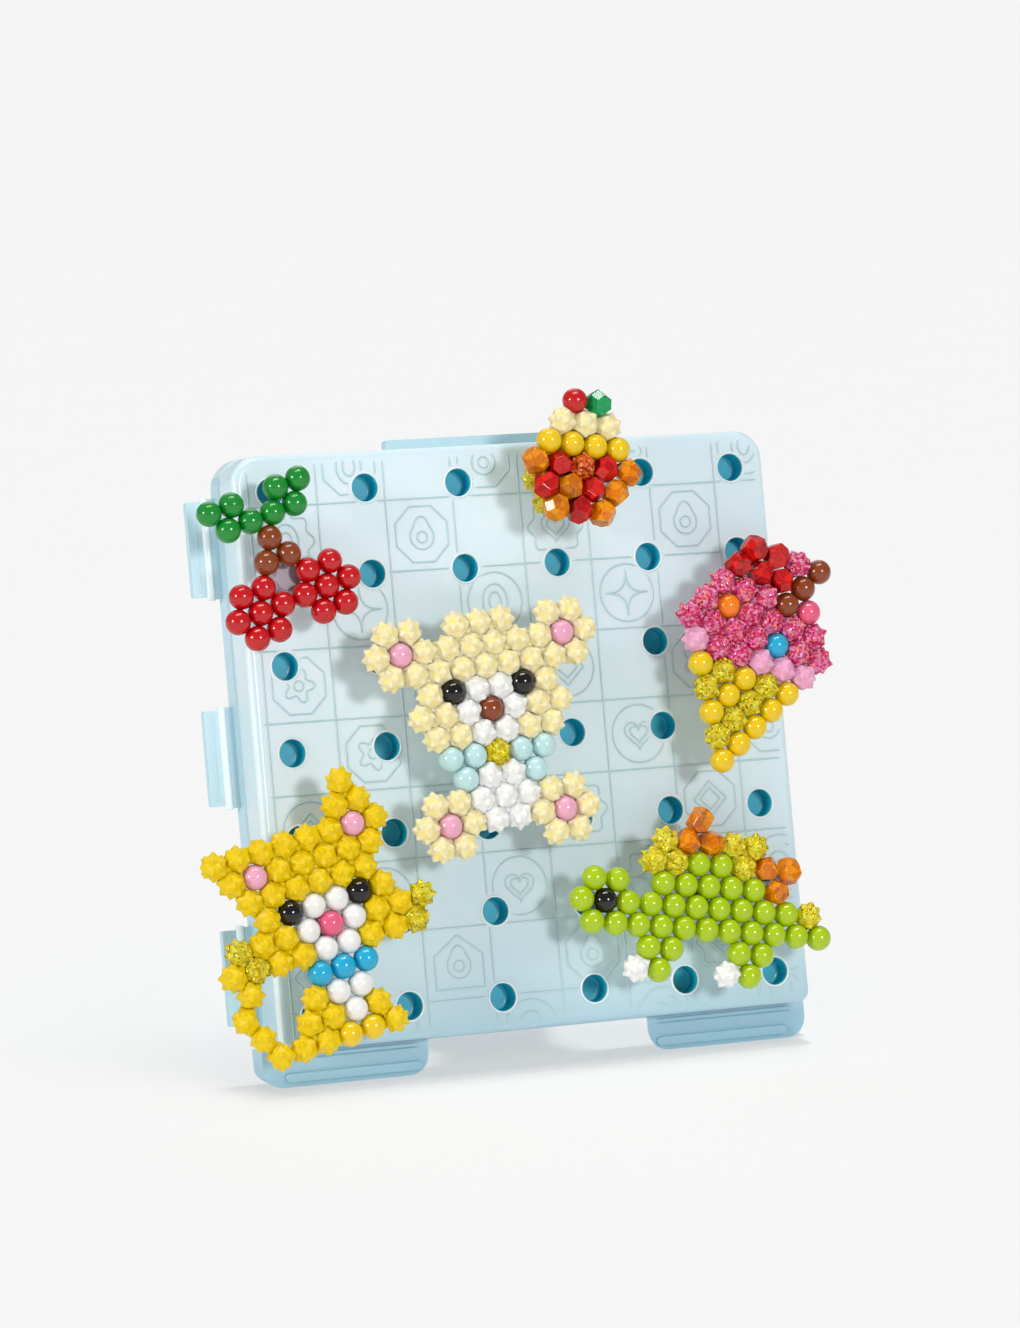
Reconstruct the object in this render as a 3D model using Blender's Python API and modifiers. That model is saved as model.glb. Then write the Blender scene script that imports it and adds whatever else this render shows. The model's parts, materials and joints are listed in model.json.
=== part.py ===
"""Bead-art display board: a leaning peg board with six fused-bead figures on pegs.

World axes: +Z up, the board faces -Y and leans back, +X is the viewer's right.
Board frame: x right, y up along the board, z out of the board's face. Its origin is the
middle of the hole grid on the face.
"""
from math import cos, pi, radians, sin, sqrt, tan

import bmesh
import bpy
from mathutils import Matrix, Vector

NAME = "bead_art_display_board"
MM = 0.001

# ---------------------------------------------------------------- board
LEAN = radians(12.5)
HALF_W = 58.0 * MM
TOP = 58.9 * MM
BOTTOM = 58.2 * MM
DEPTH = 12.0 * MM
FACE_T = 2.6 * MM
WALL_T = 2.0 * MM
R_TOP = 6.0 * MM
R_BOTTOM = 2.6 * MM
EDGE_ROUND = 1.6 * MM

HOLE_COLS = 6
HOLE_ROWS = 7
HOLE_PITCH_X = 20.0 * MM
HOLE_PITCH_Y = 17.07 * MM
HOLE_R = 2.8 * MM
HOLE_SIDES = 12

TAB_Y = (41.6 * MM, 0.4 * MM, -42.8 * MM)
TAB_LENGTH = 18.8 * MM
TAB_OUT = 5.9 * MM
TAB_T = 1.6 * MM
TAB_RIDGE_R = 1.3 * MM
TAB_RIDGE_OUT = 2.2 * MM

LIP_HALF_W = 20.8 * MM
LIP_TOP = 61.2 * MM
LIP_T = 2.4 * MM

FOOT_IN = 24.0 * MM
FOOT_OUT = 59.2 * MM
FOOT_FRONT = 7.0 * MM
FOOT_DROP = 65.0 * MM
FOOT_CORNER = 4.2 * MM
RIB_Y = 63.2 * MM
RIB_R = 0.95 * MM
RIB_OUT = 0.75 * MM

# ---------------------------------------------------------------- rear cover and prop leg
COVER_GAP = 0.3 * MM
COVER_T = 2.3 * MM
HINGE_Y = 26.0 * MM
HINGE_BEHIND = 3.5 * MM
LEG_TILT = radians(14.7)
LEG_T = 2.6 * MM
LEG_TOP_HALF_W = 12.0 * MM
LEG_FOOT_HALF_W = 21.0 * MM
LEG_HEEL = 4.8 * MM
BARREL_R = 3.0 * MM
PIN_R = 1.1 * MM
BORE_R = 1.25 * MM
LUG_IN = 12.3 * MM
LUG_T = 3.0 * MM
LUG_R = 4.0 * MM
PIN_HEAD_R = 1.9 * MM

# ---------------------------------------------------------------- pegs and hubs
SHANK_R = 2.5 * MM
SHANK_IN = 5.6 * MM
COLLAR_R = 3.7 * MM
COLLAR_GAP = 0.2 * MM
COLLAR_TOP = 1.4 * MM
PEG_PIN_R = 1.6 * MM
STALK_R = 2.1 * MM
HUB_R = 2.95 * MM
HUB_BORE_R = 1.95 * MM
HUB_SEAT = 0.8 * MM

# ---------------------------------------------------------------- beads
BEAD_PITCH = 4.97 * MM
BEAD_RIM = 1.0 * MM
BEAD_HALF = 2.45 * MM
BEAD_INSET = 1.2 * MM
GROUP_GAP = 0.173 * MM
LAYER_STEP = 5.0 * MM
LAYER_SHIFT = 1.4 * MM

# Each figure: peg hole (column from the left, row from the top), turn clockwise in degrees,
# stand-off of the bead centres from the face in mm, the place of the peg in the plan
# (character column, row), the plan, and what each letter of the plan belongs to.
# A bead takes two characters; odd rows sit half a bead to the right.
CHERRIES = (
    " l l   l l",
    "  l l l l",
    "     s",
    "    s s",
    " c c   c c",
    "c c c c c c",
    " c c   c c",
)
BEAR = (
    " h h   h h h   h h",
    "h h h h h h h h h h",
    " h h h h h h h h h",
    "    h e m m f h",
    "   h h m n m h h",
    "    h h m m h h",
    "     a a k b b",
    "      a t t b",
    "   p p t t t q q",
    "  p p p t t q q q",
    "   p p       q q",
)
CAT = (
    "             y",
    "            y y",
    " y y y y y y y y",
    "  y y y y y y y",
    "   y y y y y y",
    "    y e m m f y",
    " y y y m n m y y y",
    "y y y y m m y y y",
    " y     c c c",
    "y     y b b",
    " y   y y b y",
    "  y y y y y y",
)
DINOSAUR = (
    "          f",
    "       f f f r r",
    "      f f g g r r r",
    " g g   g g g g g r",
    "g e g g g g g g g g t",
    " g g g g g g g g g g g",
    "      g g     g g",
    "     u g     v g",
)
CUPCAKE = (
    "   r j",
    "  w w w",
    " y y y y",
    "c c c c c",
    " c c c c",
    "  c c c",
)
CUPCAKE_REAR = (
    "",
    "    z z",
    "   z z z",
    "  z z z",
    " z z z",
    "  z z",
)
ICE_CREAM = (
    "    r r d w",
    "   r r r w",
    "  m m m w h",
    " m m m m m m",
    "m m m m m m m",
    " m m m i i i",
    "  c c c c c",
    "   c c c c",
    "    c c c",
    "     c c",
    "      c",
)
FIGURES = {
    "cherries": (0, 1, -17.6, 8.5, (5.7, 4.0), CHERRIES, {
        "l": ("leaves", "green"), "s": ("stem", "brown"), "c": ("fruit", "red")}),
    "bear": (2, 3, -4.1, 12.0, (9.8, 5.3), BEAR, {
        "h": ("head", "cream"), "e": ("eye_left", "black"), "f": ("eye_right", "black"),
        "m": ("muzzle", "white"), "n": ("nose", "brown"), "k": ("bow_knot", "amber"),
        "a": ("bow_left", "ice_blue"), "b": ("bow_right", "ice_blue"), "t": ("tummy", "white"),
        "p": ("paw_left", "cream"), "q": ("paw_right", "cream")}),
    "cat": (0, 5, -12.1, 12.0, (8.9, 6.1), CAT, {
        "y": ("fur", "yellow"), "e": ("eye_left", "black"), "f": ("eye_right", "black"),
        "m": ("muzzle", "white"), "n": ("nose", "hot_pink"), "c": ("collar", "blue"),
        "b": ("belly", "white")}),
    "dinosaur": (4, 5, 8.6, 12.0, (10.6, 3.3), DINOSAUR, {
        "g": ("body", "lime"), "e": ("eye", "black"), "f": ("crest_front", "orange"),
        "r": ("crest_rear", "orange"), "t": ("tail_tip", "amber"),
        "u": ("claw_front", "white"), "v": ("claw_rear", "white")}),
    "cupcake": (3, 0, 9.7, 13.4, (3.6, 3.2), CUPCAKE, {
        "r": ("cherry", "red"), "j": ("jewel", "green"), "w": ("cream", "cream"),
        "y": ("sponge", "yellow"), "c": ("case", "orange"), "z": ("rear_layer", "amber")}),
    "icecream": (5, 2, 21.7, 12.0, (7.2, 3.4), ICE_CREAM, {
        "r": ("jewels", "red"), "m": ("scoop", "magenta"), "w": ("wafer", "brown"),
        "h": ("candy", "hot_pink"), "d": ("star", "magenta"), "i": ("icing", "pale_pink"),
        "c": ("cone", "yellow")}),
}

COLOURS = {
    "aqua": (0.55, 0.78, 0.83, 1), "teal": (0.02, 0.26, 0.36, 1), "steel": (0.6, 0.6, 0.62, 1),
    "lilac": (0.42, 0.36, 0.42, 1), "green": (0.02, 0.30, 0.03, 1), "brown": (0.22, 0.06, 0.01, 1),
    "red": (0.62, 0.01, 0.01, 1), "cream": (0.85, 0.72, 0.33, 1), "black": (0.01, 0.01, 0.01, 1),
    "white": (0.85, 0.85, 0.85, 1), "amber": (0.65, 0.50, 0.02, 1), "ice_blue": (0.5, 0.8, 0.8, 1),
    "yellow": (0.85, 0.60, 0.01, 1), "hot_pink": (0.75, 0.06, 0.16, 1),
    "blue": (0.01, 0.35, 0.62, 1), "lime": (0.38, 0.65, 0.01, 1), "orange": (0.75, 0.20, 0.01, 1),
    "magenta": (0.60, 0.03, 0.20, 1), "pale_pink": (0.8, 0.45, 0.58, 1),
}


def reset():
    for obj in list(bpy.data.objects):
        bpy.data.objects.remove(obj, do_unlink=True)
    for col in list(bpy.data.collections):
        bpy.data.collections.remove(col)
    parts = bpy.data.collections.new(NAME)
    cutters = bpy.data.collections.new("cutters")
    bpy.context.scene.collection.children.link(parts)
    bpy.context.scene.collection.children.link(cutters)
    return parts, cutters


PARTS, CUTTERS = reset()


def material(name, colour):
    mat = bpy.data.materials.new(name)
    mat.use_nodes = True
    shader = mat.node_tree.nodes["Principled BSDF"]
    shader.inputs["Base Color"].default_value = COLOURS[colour]
    shader.inputs["Roughness"].default_value = 0.3
    mat.diffuse_color = COLOURS[colour]
    return mat


def finish(bm, name, colour=None):
    """Turn a bmesh into a named object; without a colour it is a cutter or an added shape."""
    bmesh.ops.recalc_face_normals(bm, faces=bm.faces)
    mesh = bpy.data.meshes.new(name)
    bm.to_mesh(mesh)
    bm.free()
    obj = bpy.data.objects.new(name, mesh)
    if colour is None:
        CUTTERS.objects.link(obj)
        obj.hide_render = True
        obj.display_type = "WIRE"
    else:
        PARTS.objects.link(obj)
        mesh.materials.append(material(name, colour))
    return obj


def combine(obj, other, operation):
    mod = obj.modifiers.new(other.name, "BOOLEAN")
    mod.operation = operation
    mod.object = other
    mod.solver = "EXACT"
    return mod


def add_prism(bm, outline, z0, z1):
    """Straight prism over an outline of (x, y) points given anticlockwise."""
    low = [bm.verts.new((x, y, z0)) for x, y in outline]
    high = [bm.verts.new((x, y, z1)) for x, y in outline]
    bm.faces.new(list(reversed(low)))
    bm.faces.new(high)
    for i in range(len(outline)):
        j = (i + 1) % len(outline)
        bm.faces.new((low[i], low[j], high[j], high[i]))
    return low, high


def rounded_outline(x0, x1, y0, y1, radii, steps=4):
    """Anticlockwise rounded rectangle; radii run bottom left, bottom right, top right, top left."""
    corners = ((x0, y0, 1, 1), (x1, y0, -1, 1), (x1, y1, -1, -1), (x0, y1, 1, -1))
    points = []
    for k, (cx, cy, sx, sy) in enumerate(corners):
        r = radii[k]
        for i in range(steps + 1):
            a = pi + k * pi / 2 + i * pi / 2 / steps
            points.append((cx + sx * r + r * cos(a), cy + sy * r + r * sin(a)))
            if r == 0:
                break
    return points


def add_box(bm, x0, x1, y0, y1, z0, z1):
    return add_prism(bm, ((x0, y0), (x1, y0), (x1, y1), (x0, y1)), z0, z1)


def add_rod(bm, centre, radius, length, axis, sides):
    """Closed cylinder along X, Y or Z about a centre point."""
    turn = {"X": Matrix.Rotation(pi / 2, 4, "Y"), "Y": Matrix.Rotation(pi / 2, 4, "X")}
    place = Matrix.Translation(centre) @ turn.get(axis, Matrix.Identity(4))
    bmesh.ops.create_cone(bm, cap_ends=True, segments=sides, radius1=radius, radius2=radius,
                          depth=length, matrix=place)


def turned(name, colour, profile, sides):
    """Solid of revolution about Z from (radius, z) points that run from the top down."""
    bm = bmesh.new()
    verts = [bm.verts.new((r, 0, z)) for r, z in profile]
    for a, b in zip(verts, verts[1:]):
        bm.edges.new((a, b))
    mesh = bpy.data.meshes.new(name)
    bm.to_mesh(mesh)
    bm.free()
    obj = bpy.data.objects.new(name, mesh)
    PARTS.objects.link(obj)
    mesh.materials.append(material(name, colour))
    screw = obj.modifiers.new("turn", "SCREW")
    screw.axis = "Z"
    screw.steps = sides
    screw.render_steps = sides
    screw.use_merge_vertices = True
    screw.merge_threshold = 0.00001
    return obj


# Height of the board frame's origin above the ground: the rear lower edge of the feet rests.
FOOT_REAR = FOOT_DROP - (DEPTH - FOOT_FRONT) * tan(LEAN)
BOARD_HEIGHT = FOOT_REAR * cos(LEAN) + DEPTH * sin(LEAN)
BOARD = Matrix.Translation((0, 0, BOARD_HEIGHT)) @ Matrix.Rotation(pi / 2 - LEAN, 4, "X")


def on_board(obj, x=0.0, y=0.0, z=0.0):
    obj.matrix_world = BOARD @ Matrix.Translation((x, y, z))


def hole_at(col, row):
    x = (col - (HOLE_COLS - 1) / 2) * HOLE_PITCH_X
    y = ((HOLE_ROWS - 1) / 2 - row) * HOLE_PITCH_Y
    return x, y


# ---------------------------------------------------------------- front shell
def build_front_shell():
    bm = bmesh.new()
    outline = rounded_outline(-HALF_W, HALF_W, -BOTTOM, TOP, (R_BOTTOM, R_BOTTOM, R_TOP, R_TOP))
    low, high = add_prism(bm, outline, -DEPTH, 0)
    rim = [e for e in bm.edges if all(v in high for v in e.verts)]
    bmesh.ops.bevel(bm, geom=rim, offset=EDGE_ROUND, segments=2, profile=0.5,
                    affect="EDGES", clamp_overlap=True)
    shell = finish(bm, "front_shell", "aqua")

    bm = bmesh.new()
    w = WALL_T
    outline = rounded_outline(-HALF_W + w, HALF_W - w, -BOTTOM + w, TOP - w,
                              (R_BOTTOM - w, R_BOTTOM - w, R_TOP - w, R_TOP - w), 3)
    add_prism(bm, outline, -DEPTH - 1 * MM, -FACE_T)
    cavity = finish(bm, "shell_cavity")

    bm = bmesh.new()
    for y in TAB_Y:
        add_box(bm, -HALF_W - TAB_OUT, -HALF_W + 0.8 * MM, y - TAB_LENGTH / 2, y + TAB_LENGTH / 2,
                -DEPTH, -DEPTH + TAB_T)
    add_box(bm, -LIP_HALF_W, LIP_HALF_W, TOP - 1 * MM, LIP_TOP, -DEPTH, -DEPTH + LIP_T)
    tabs = finish(bm, "tabs_and_lip")

    bm = bmesh.new()
    for y in TAB_Y:
        add_rod(bm, (-HALF_W - TAB_RIDGE_OUT, y, -DEPTH + TAB_T), TAB_RIDGE_R,
                TAB_LENGTH + 1.6 * MM, "Y", 8)
    ridges = finish(bm, "tab_ridges")

    bm = bmesh.new()
    for side in (-1, 1):
        x0, x1 = sorted((side * FOOT_IN, side * FOOT_OUT))
        r = FOOT_CORNER
        low, high = add_prism(bm, rounded_outline(x0, x1, -FOOT_DROP, -BOTTOM + 1.2 * MM,
                                                  (r, r, 0, 0), 3), -DEPTH, -FOOT_FRONT)
        floor = -FOOT_DROP + r
        for v in low:
            if v.co.y < floor:
                lift = (floor - v.co.y) / r
                v.co.y += (FOOT_DROP - FOOT_REAR) * lift
    feet = finish(bm, "feet")

    bm = bmesh.new()
    for side in (-1, 1):
        x0, x1 = sorted((side * (FOOT_IN + 1.6 * MM), side * (FOOT_OUT - 4.5 * MM)))
        add_prism(bm, rounded_outline(x0, x1, -RIB_Y - RIB_R, -RIB_Y + RIB_R, (RIB_R,) * 4, 2),
                  -FOOT_FRONT - 0.5 * MM, -FOOT_FRONT + RIB_OUT)
    ribs = finish(bm, "foot_ribs")

    bm = bmesh.new()
    for row in range(HOLE_ROWS):
        for col in range(HOLE_COLS):
            x, y = hole_at(col, row)
            add_rod(bm, (x, y, -FACE_T / 2), HOLE_R, FACE_T + 4 * MM, "Z", HOLE_SIDES)
    holes = finish(bm, "peg_holes")

    combine(shell, cavity, "DIFFERENCE")
    combine(shell, feet, "UNION")
    combine(shell, ribs, "UNION")
    combine(shell, tabs, "UNION")
    combine(shell, ridges, "UNION")
    combine(shell, holes, "DIFFERENCE")
    for obj in (shell, cavity, tabs, ridges, feet, ribs, holes):
        on_board(obj)


# ---------------------------------------------------------------- rear cover, leg and pin
HINGE = BOARD @ Vector((0, HINGE_Y, -DEPTH - HINGE_BEHIND))


def build_rear_cover():
    bm = bmesh.new()
    w = WALL_T + COVER_GAP
    outline = rounded_outline(-HALF_W + w, HALF_W - w, -BOTTOM + w, TOP - w,
                              (0.4 * MM, 0.4 * MM, R_TOP - w, R_TOP - w), 3)
    add_prism(bm, outline, -DEPTH, -DEPTH + COVER_T)
    cover = finish(bm, "rear_cover", "teal")

    bm = bmesh.new()
    arc = [(-DEPTH - HINGE_BEHIND + LUG_R * cos(a), HINGE_Y + LUG_R * sin(a))
           for a in [pi / 2 + i * pi / 6 for i in range(7)]]
    root = -DEPTH + 0.8 * MM
    profile = [(root, HINGE_Y + LUG_R)] + arc + [(root, HINGE_Y - LUG_R)]
    for side in (-1, 1):
        low = [bm.verts.new((side * LUG_IN, y, z)) for z, y in profile]
        high = [bm.verts.new((side * (LUG_IN + LUG_T), y, z)) for z, y in profile]
        bm.faces.new(low)
        bm.faces.new(list(reversed(high)))
        for i in range(len(profile)):
            j = (i + 1) % len(profile)
            bm.faces.new((low[j], low[i], high[i], high[j]))
    lugs = finish(bm, "leg_lugs")

    bm = bmesh.new()
    add_rod(bm, (0, HINGE_Y, -DEPTH - HINGE_BEHIND), BORE_R, 40 * MM, "X", 12)
    bore = finish(bm, "lug_bore")
    combine(cover, lugs, "UNION")
    combine(cover, bore, "DIFFERENCE")
    for obj in (cover, lugs, bore):
        on_board(obj)


def build_leg():
    """Prop leg about its hinge: y runs up along the leg, z towards the board."""
    place = Matrix.Translation(HINGE) @ Matrix.Rotation(pi / 2 + LEG_TILT, 4, "X")
    length = HINGE.z / cos(LEG_TILT)
    outline = (
        (-LEG_FOOT_HALF_W, -length), (LEG_FOOT_HALF_W, -length),
        (LEG_FOOT_HALF_W, -length + 10 * MM), (LEG_TOP_HALF_W, -12 * MM),
        (LEG_TOP_HALF_W, LEG_HEEL), (-LEG_TOP_HALF_W, LEG_HEEL),
        (-LEG_TOP_HALF_W, -12 * MM), (-LEG_FOOT_HALF_W, -length + 10 * MM),
    )
    bm = bmesh.new()
    add_prism(bm, outline, -LEG_T / 2, LEG_T / 2)
    for v in bm.verts:
        if v.co.y < -length + 1 * MM:
            v.co.y += v.co.z * tan(LEG_TILT)
    leg = finish(bm, "easel_leg", "aqua")

    bm = bmesh.new()
    add_rod(bm, (0, 0, 0), BARREL_R, 2 * LEG_TOP_HALF_W, "X", 14)
    barrel = finish(bm, "leg_barrel")
    bm = bmesh.new()
    add_rod(bm, (0, 0, 0), BORE_R, 30 * MM, "X", 12)
    bore = finish(bm, "leg_bore")
    combine(leg, barrel, "UNION")
    combine(leg, bore, "DIFFERENCE")
    for obj in (leg, barrel, bore):
        obj.matrix_world = place

    half = LUG_IN + LUG_T + 0.9 * MM
    head = 0.7 * MM
    pin = turned("hinge_pin", "steel", (
        (0, half), (PIN_HEAD_R, half), (PIN_HEAD_R, half - head), (PIN_R, half - head),
        (PIN_R, head - half), (PIN_HEAD_R, head - half), (PIN_HEAD_R, -half), (0, -half)), 12)
    pin.matrix_world = Matrix.Translation(HINGE) @ Matrix.Rotation(pi / 2, 4, "Y")


# ---------------------------------------------------------------- pegs and hubs
def build_peg_and_hub(figure, x, y, hub_top):
    """Peg in the hole at (x, y) and the hub that turns on it, its front face at hub_top."""
    hub_base = 2.9 * MM if hub_top < 7 * MM else 5.6 * MM
    pin_top = hub_top - 1.1 * MM
    stalk_top = hub_base - 0.3 * MM
    peg = turned("peg_" + figure, "lilac", (
        (0, pin_top), (PEG_PIN_R - 0.3 * MM, pin_top), (PEG_PIN_R, pin_top - 0.3 * MM),
        (PEG_PIN_R, stalk_top), (STALK_R, stalk_top), (STALK_R, COLLAR_TOP),
        (COLLAR_R, COLLAR_TOP), (COLLAR_R, COLLAR_GAP), (SHANK_R, COLLAR_GAP),
        (SHANK_R, 0.8 * MM - SHANK_IN), (SHANK_R - 0.6 * MM, -SHANK_IN), (0, -SHANK_IN)), 12)
    on_board(peg, x, y)
    rise = hub_top - hub_base
    hub = turned("hub_" + figure, "lilac", (
        (0, rise), (HUB_R, rise), (HUB_R, 0), (HUB_BORE_R, 0),
        (HUB_BORE_R, rise - HUB_SEAT), (0, rise - HUB_SEAT)), 8)
    on_board(hub, x, y, hub_base)


# ---------------------------------------------------------------- fused bead groups
def plan_places(plan, anchor, turn):
    """(letter, x, y) of every bead of a plan, about the peg, after the figure's turn."""
    places = []
    for row, text in enumerate(plan):
        for col, letter in enumerate(text):
            if letter == " ":
                continue
            u = (col - anchor[0]) * BEAD_PITCH / 2
            v = (row - anchor[1]) * BEAD_PITCH * sqrt(3) / 2
            x = u * cos(turn) - v * sin(turn)
            y = -(u * sin(turn) + v * cos(turn))
            places.append((letter, x, y))
    return places


def bead_group(name, colour, centres, turn):
    """One closed body of fused beads: a hexagonal cell with a domed front and back per bead."""
    corner = BEAD_PITCH / sqrt(3)
    bm = bmesh.new()
    shared = {}
    middle = {}
    for x, y in centres:
        loop = []
        for k in range(6):
            a = radians(30 + 60 * k) - turn
            px, py = x + corner * cos(a), y + corner * sin(a)
            key = (round(px * 4000), round(py * 4000))
            near = [(key[0] + i, key[1] + j) for i in (-1, 0, 1) for j in (-1, 0, 1)]
            found = [shared[n] for n in near if n in shared]
            vert = found[0] if found else bm.verts.new((px, py, BEAD_RIM))
            shared.setdefault(key, vert)
            loop.append(vert)
        middle[bm.faces.new(loop)] = Vector((x, y, BEAD_RIM))
    tops = list(bm.faces)
    edges = [e for e in bm.edges if len(e.link_faces) == 1]
    moves = {}
    for e in edges:
        for v in e.verts:
            inward = sum((middle[f] - v.co for f in v.link_faces), Vector())
            moves[v] = inward.normalized() * GROUP_GAP
    for v, move in moves.items():
        v.co += move
    below = {v: bm.verts.new((v.co.x, v.co.y, -BEAD_RIM)) for v in list(bm.verts)}
    bottoms = [bm.faces.new([below[v] for v in reversed(f.verts)]) for f in tops]
    for e in edges:
        a, b = e.link_loops[0].vert, e.link_loops[0].link_loop_next.vert
        bm.faces.new((b, a, below[a], below[b]))
    bm.normal_update()
    dome = BEAD_HALF - BEAD_RIM
    bmesh.ops.inset_individual(bm, faces=tops, thickness=BEAD_INSET, depth=dome)
    bmesh.ops.poke(bm, faces=bottoms, offset=dome)
    return finish(bm, name, colour)


def build_figures():
    for figure, (col, row, turn, standoff, anchor, plan, meaning) in FIGURES.items():
        x, y = hole_at(col, row)
        turn = radians(turn)
        layers = [(plan, standoff * MM, 0.0)]
        if figure == "cupcake":
            layers.append((CUPCAKE_REAR, standoff * MM - LAYER_STEP, LAYER_SHIFT))
        back = min(level for _, level, _ in layers) - BEAD_HALF
        build_peg_and_hub(figure, x, y, back - 0.15 * MM)
        for layer, level, shift in layers:
            places = plan_places(layer, anchor, turn)
            for letter, (part, colour) in meaning.items():
                centres = [(px, py) for l, px, py in places if l == letter]
                if centres:
                    obj = bead_group(figure + "_" + part, colour, centres, turn)
                    on_board(obj, x, y, level)
                    if shift:
                        obj.data.transform(Matrix.Translation((0, shift, 0)))


def settle():
    """Put the origin under the middle of the whole object's bounding box, on the ground."""
    bpy.context.view_layer.update()
    graph = bpy.context.evaluated_depsgraph_get()
    points = []
    for obj in PARTS.objects:
        shape = obj.evaluated_get(graph)
        points += [obj.matrix_world @ v.co for v in shape.data.vertices]
    low = Vector([min(p[i] for p in points) for i in range(3)])
    high = Vector([max(p[i] for p in points) for i in range(3)])
    shift = Vector((-(low.x + high.x) / 2, -(low.y + high.y) / 2, -low.z))
    for obj in list(PARTS.objects) + list(CUTTERS.objects):
        obj.matrix_world = Matrix.Translation(shift) @ obj.matrix_world
    bpy.context.view_layer.update()


build_front_shell()
build_rear_cover()
build_leg()
build_figures()
settle()
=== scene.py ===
"""Looks of a bead-art display board: a leaning peg board with six fused-bead figures.

Board coordinates: x right, y up along the board, z out of its face, in metres. The origin is
the middle of the hole grid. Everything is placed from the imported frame's joints.
"""
import json
from itertools import groupby, permutations, product
from math import cos, hypot, pi, radians, sin, sqrt, tan
from random import Random

import bmesh
import bpy
import numpy as np
from mathutils import Matrix, Vector


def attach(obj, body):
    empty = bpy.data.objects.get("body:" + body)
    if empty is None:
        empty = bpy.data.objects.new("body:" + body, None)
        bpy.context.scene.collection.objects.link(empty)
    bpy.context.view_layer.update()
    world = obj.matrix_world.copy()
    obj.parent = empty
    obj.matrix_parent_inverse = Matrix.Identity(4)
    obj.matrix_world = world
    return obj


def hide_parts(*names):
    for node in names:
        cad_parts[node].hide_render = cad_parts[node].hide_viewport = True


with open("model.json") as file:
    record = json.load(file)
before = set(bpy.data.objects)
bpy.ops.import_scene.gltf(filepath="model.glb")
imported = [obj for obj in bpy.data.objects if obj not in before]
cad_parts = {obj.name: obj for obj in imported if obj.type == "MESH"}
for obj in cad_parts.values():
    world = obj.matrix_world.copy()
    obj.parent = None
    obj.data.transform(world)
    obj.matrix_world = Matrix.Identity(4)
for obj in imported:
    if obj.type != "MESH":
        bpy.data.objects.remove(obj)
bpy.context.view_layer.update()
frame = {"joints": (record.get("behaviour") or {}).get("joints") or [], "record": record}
MM = 0.001

# ---------------------------------------------------------------- where the board stands
HOLE_COLS, HOLE_ROWS = 6, 7
PITCH_X, PITCH_Y = 20.0 * MM, 17.07 * MM
JOINTS = {j["name"]: j for j in frame["joints"]}
OUT = Vector(JOINTS["bear_swivel"]["axis"]).normalized()
RIGHT = Vector((1, 0, 0))
UP = OUT.cross(RIGHT)
BEAR_PEG = Vector(JOINTS["bear_swivel"]["pos_m"])
ORIGIN = BEAR_PEG + RIGHT * PITCH_X / 2
BOARD = Matrix.Translation(ORIGIN) @ Matrix((RIGHT, UP, OUT)).transposed().to_4x4()
TO_BOARD = BOARD.inverted()
HINGE = Vector(JOINTS["leg_fold"]["pos_m"])

# ---------------------------------------------------------------- board sizes
HALF_W = 58.0 * MM
TOP = 58.9 * MM
BOTTOM = 58.2 * MM
BOARD_HEIGHT = 125 * MM
DEPTH = 12.0 * MM
FACE_T = 2.6 * MM
WALL_T = 2.0 * MM
R_TOP = 6.0 * MM
R_BOTTOM = 2.6 * MM
EDGE_ROUND = 1.6 * MM
FLANGE_DEPTH = 4.4 * MM
FLANGE_STEP = 0.3 * MM
HOLE_R = 2.8 * MM
CHAMFER = 0.22 * MM
TAB_Y = (41.6 * MM, 0.4 * MM, -42.8 * MM)
TAB_LENGTH = 18.8 * MM
TAB_OUT = 5.9 * MM
TAB_T = 1.6 * MM
RIDGE_R = 0.85 * MM
RIDGE_OUT = 2.2 * MM
LIP_HALF_W = 20.8 * MM
LIP_TOP = 61.2 * MM
LIP_T = 2.4 * MM
FOOT_IN = 24.0 * MM
FOOT_OUT = 59.2 * MM
FOOT_FRONT = 7.0 * MM
FOOT_DROP = 65.0 * MM
FOOT_CORNER = 4.2 * MM
FOOT_DRAFT = 2.2 * MM
FOOT_DRAFT_REACH = 12.0 * MM
RIB_Y = 63.2 * MM
RIB_R = 0.95 * MM
RIB_OUT = 0.75 * MM

# Embossed tiles: left edge, top edge and size of a tile, and the moulded line's section.
TILE_LEFT, TILE_TOP = -54.8 * MM, 62.7 * MM
TILE_W, TILE_H = 14.43 * MM, 14.2 * MM
LINE_W = 0.42 * MM
LINE_H = 0.13 * MM
LINE_STEP = 0.35 * MM
LINE_TO_RIM = 2.15 * MM
LINE_TO_HOLE = 0.5 * MM

# ---------------------------------------------------------------- beads
BEAD_PITCH = 4.97 * MM
BALL_R = 2.51 * MM
STAR_R = 3.02 * MM
STAR_VALLEY = 2.56 * MM
JEWEL_R = 3.0 * MM
FILLER_R = 1.0 * MM
LAYER_STEP = 5.0 * MM
LAYER_SHIFT = 1.4 * MM
BEAD_BACK = 2.45 * MM
HUB_GAP = 0.15 * MM
TOUCHING = 1.2 * BEAD_PITCH

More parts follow.
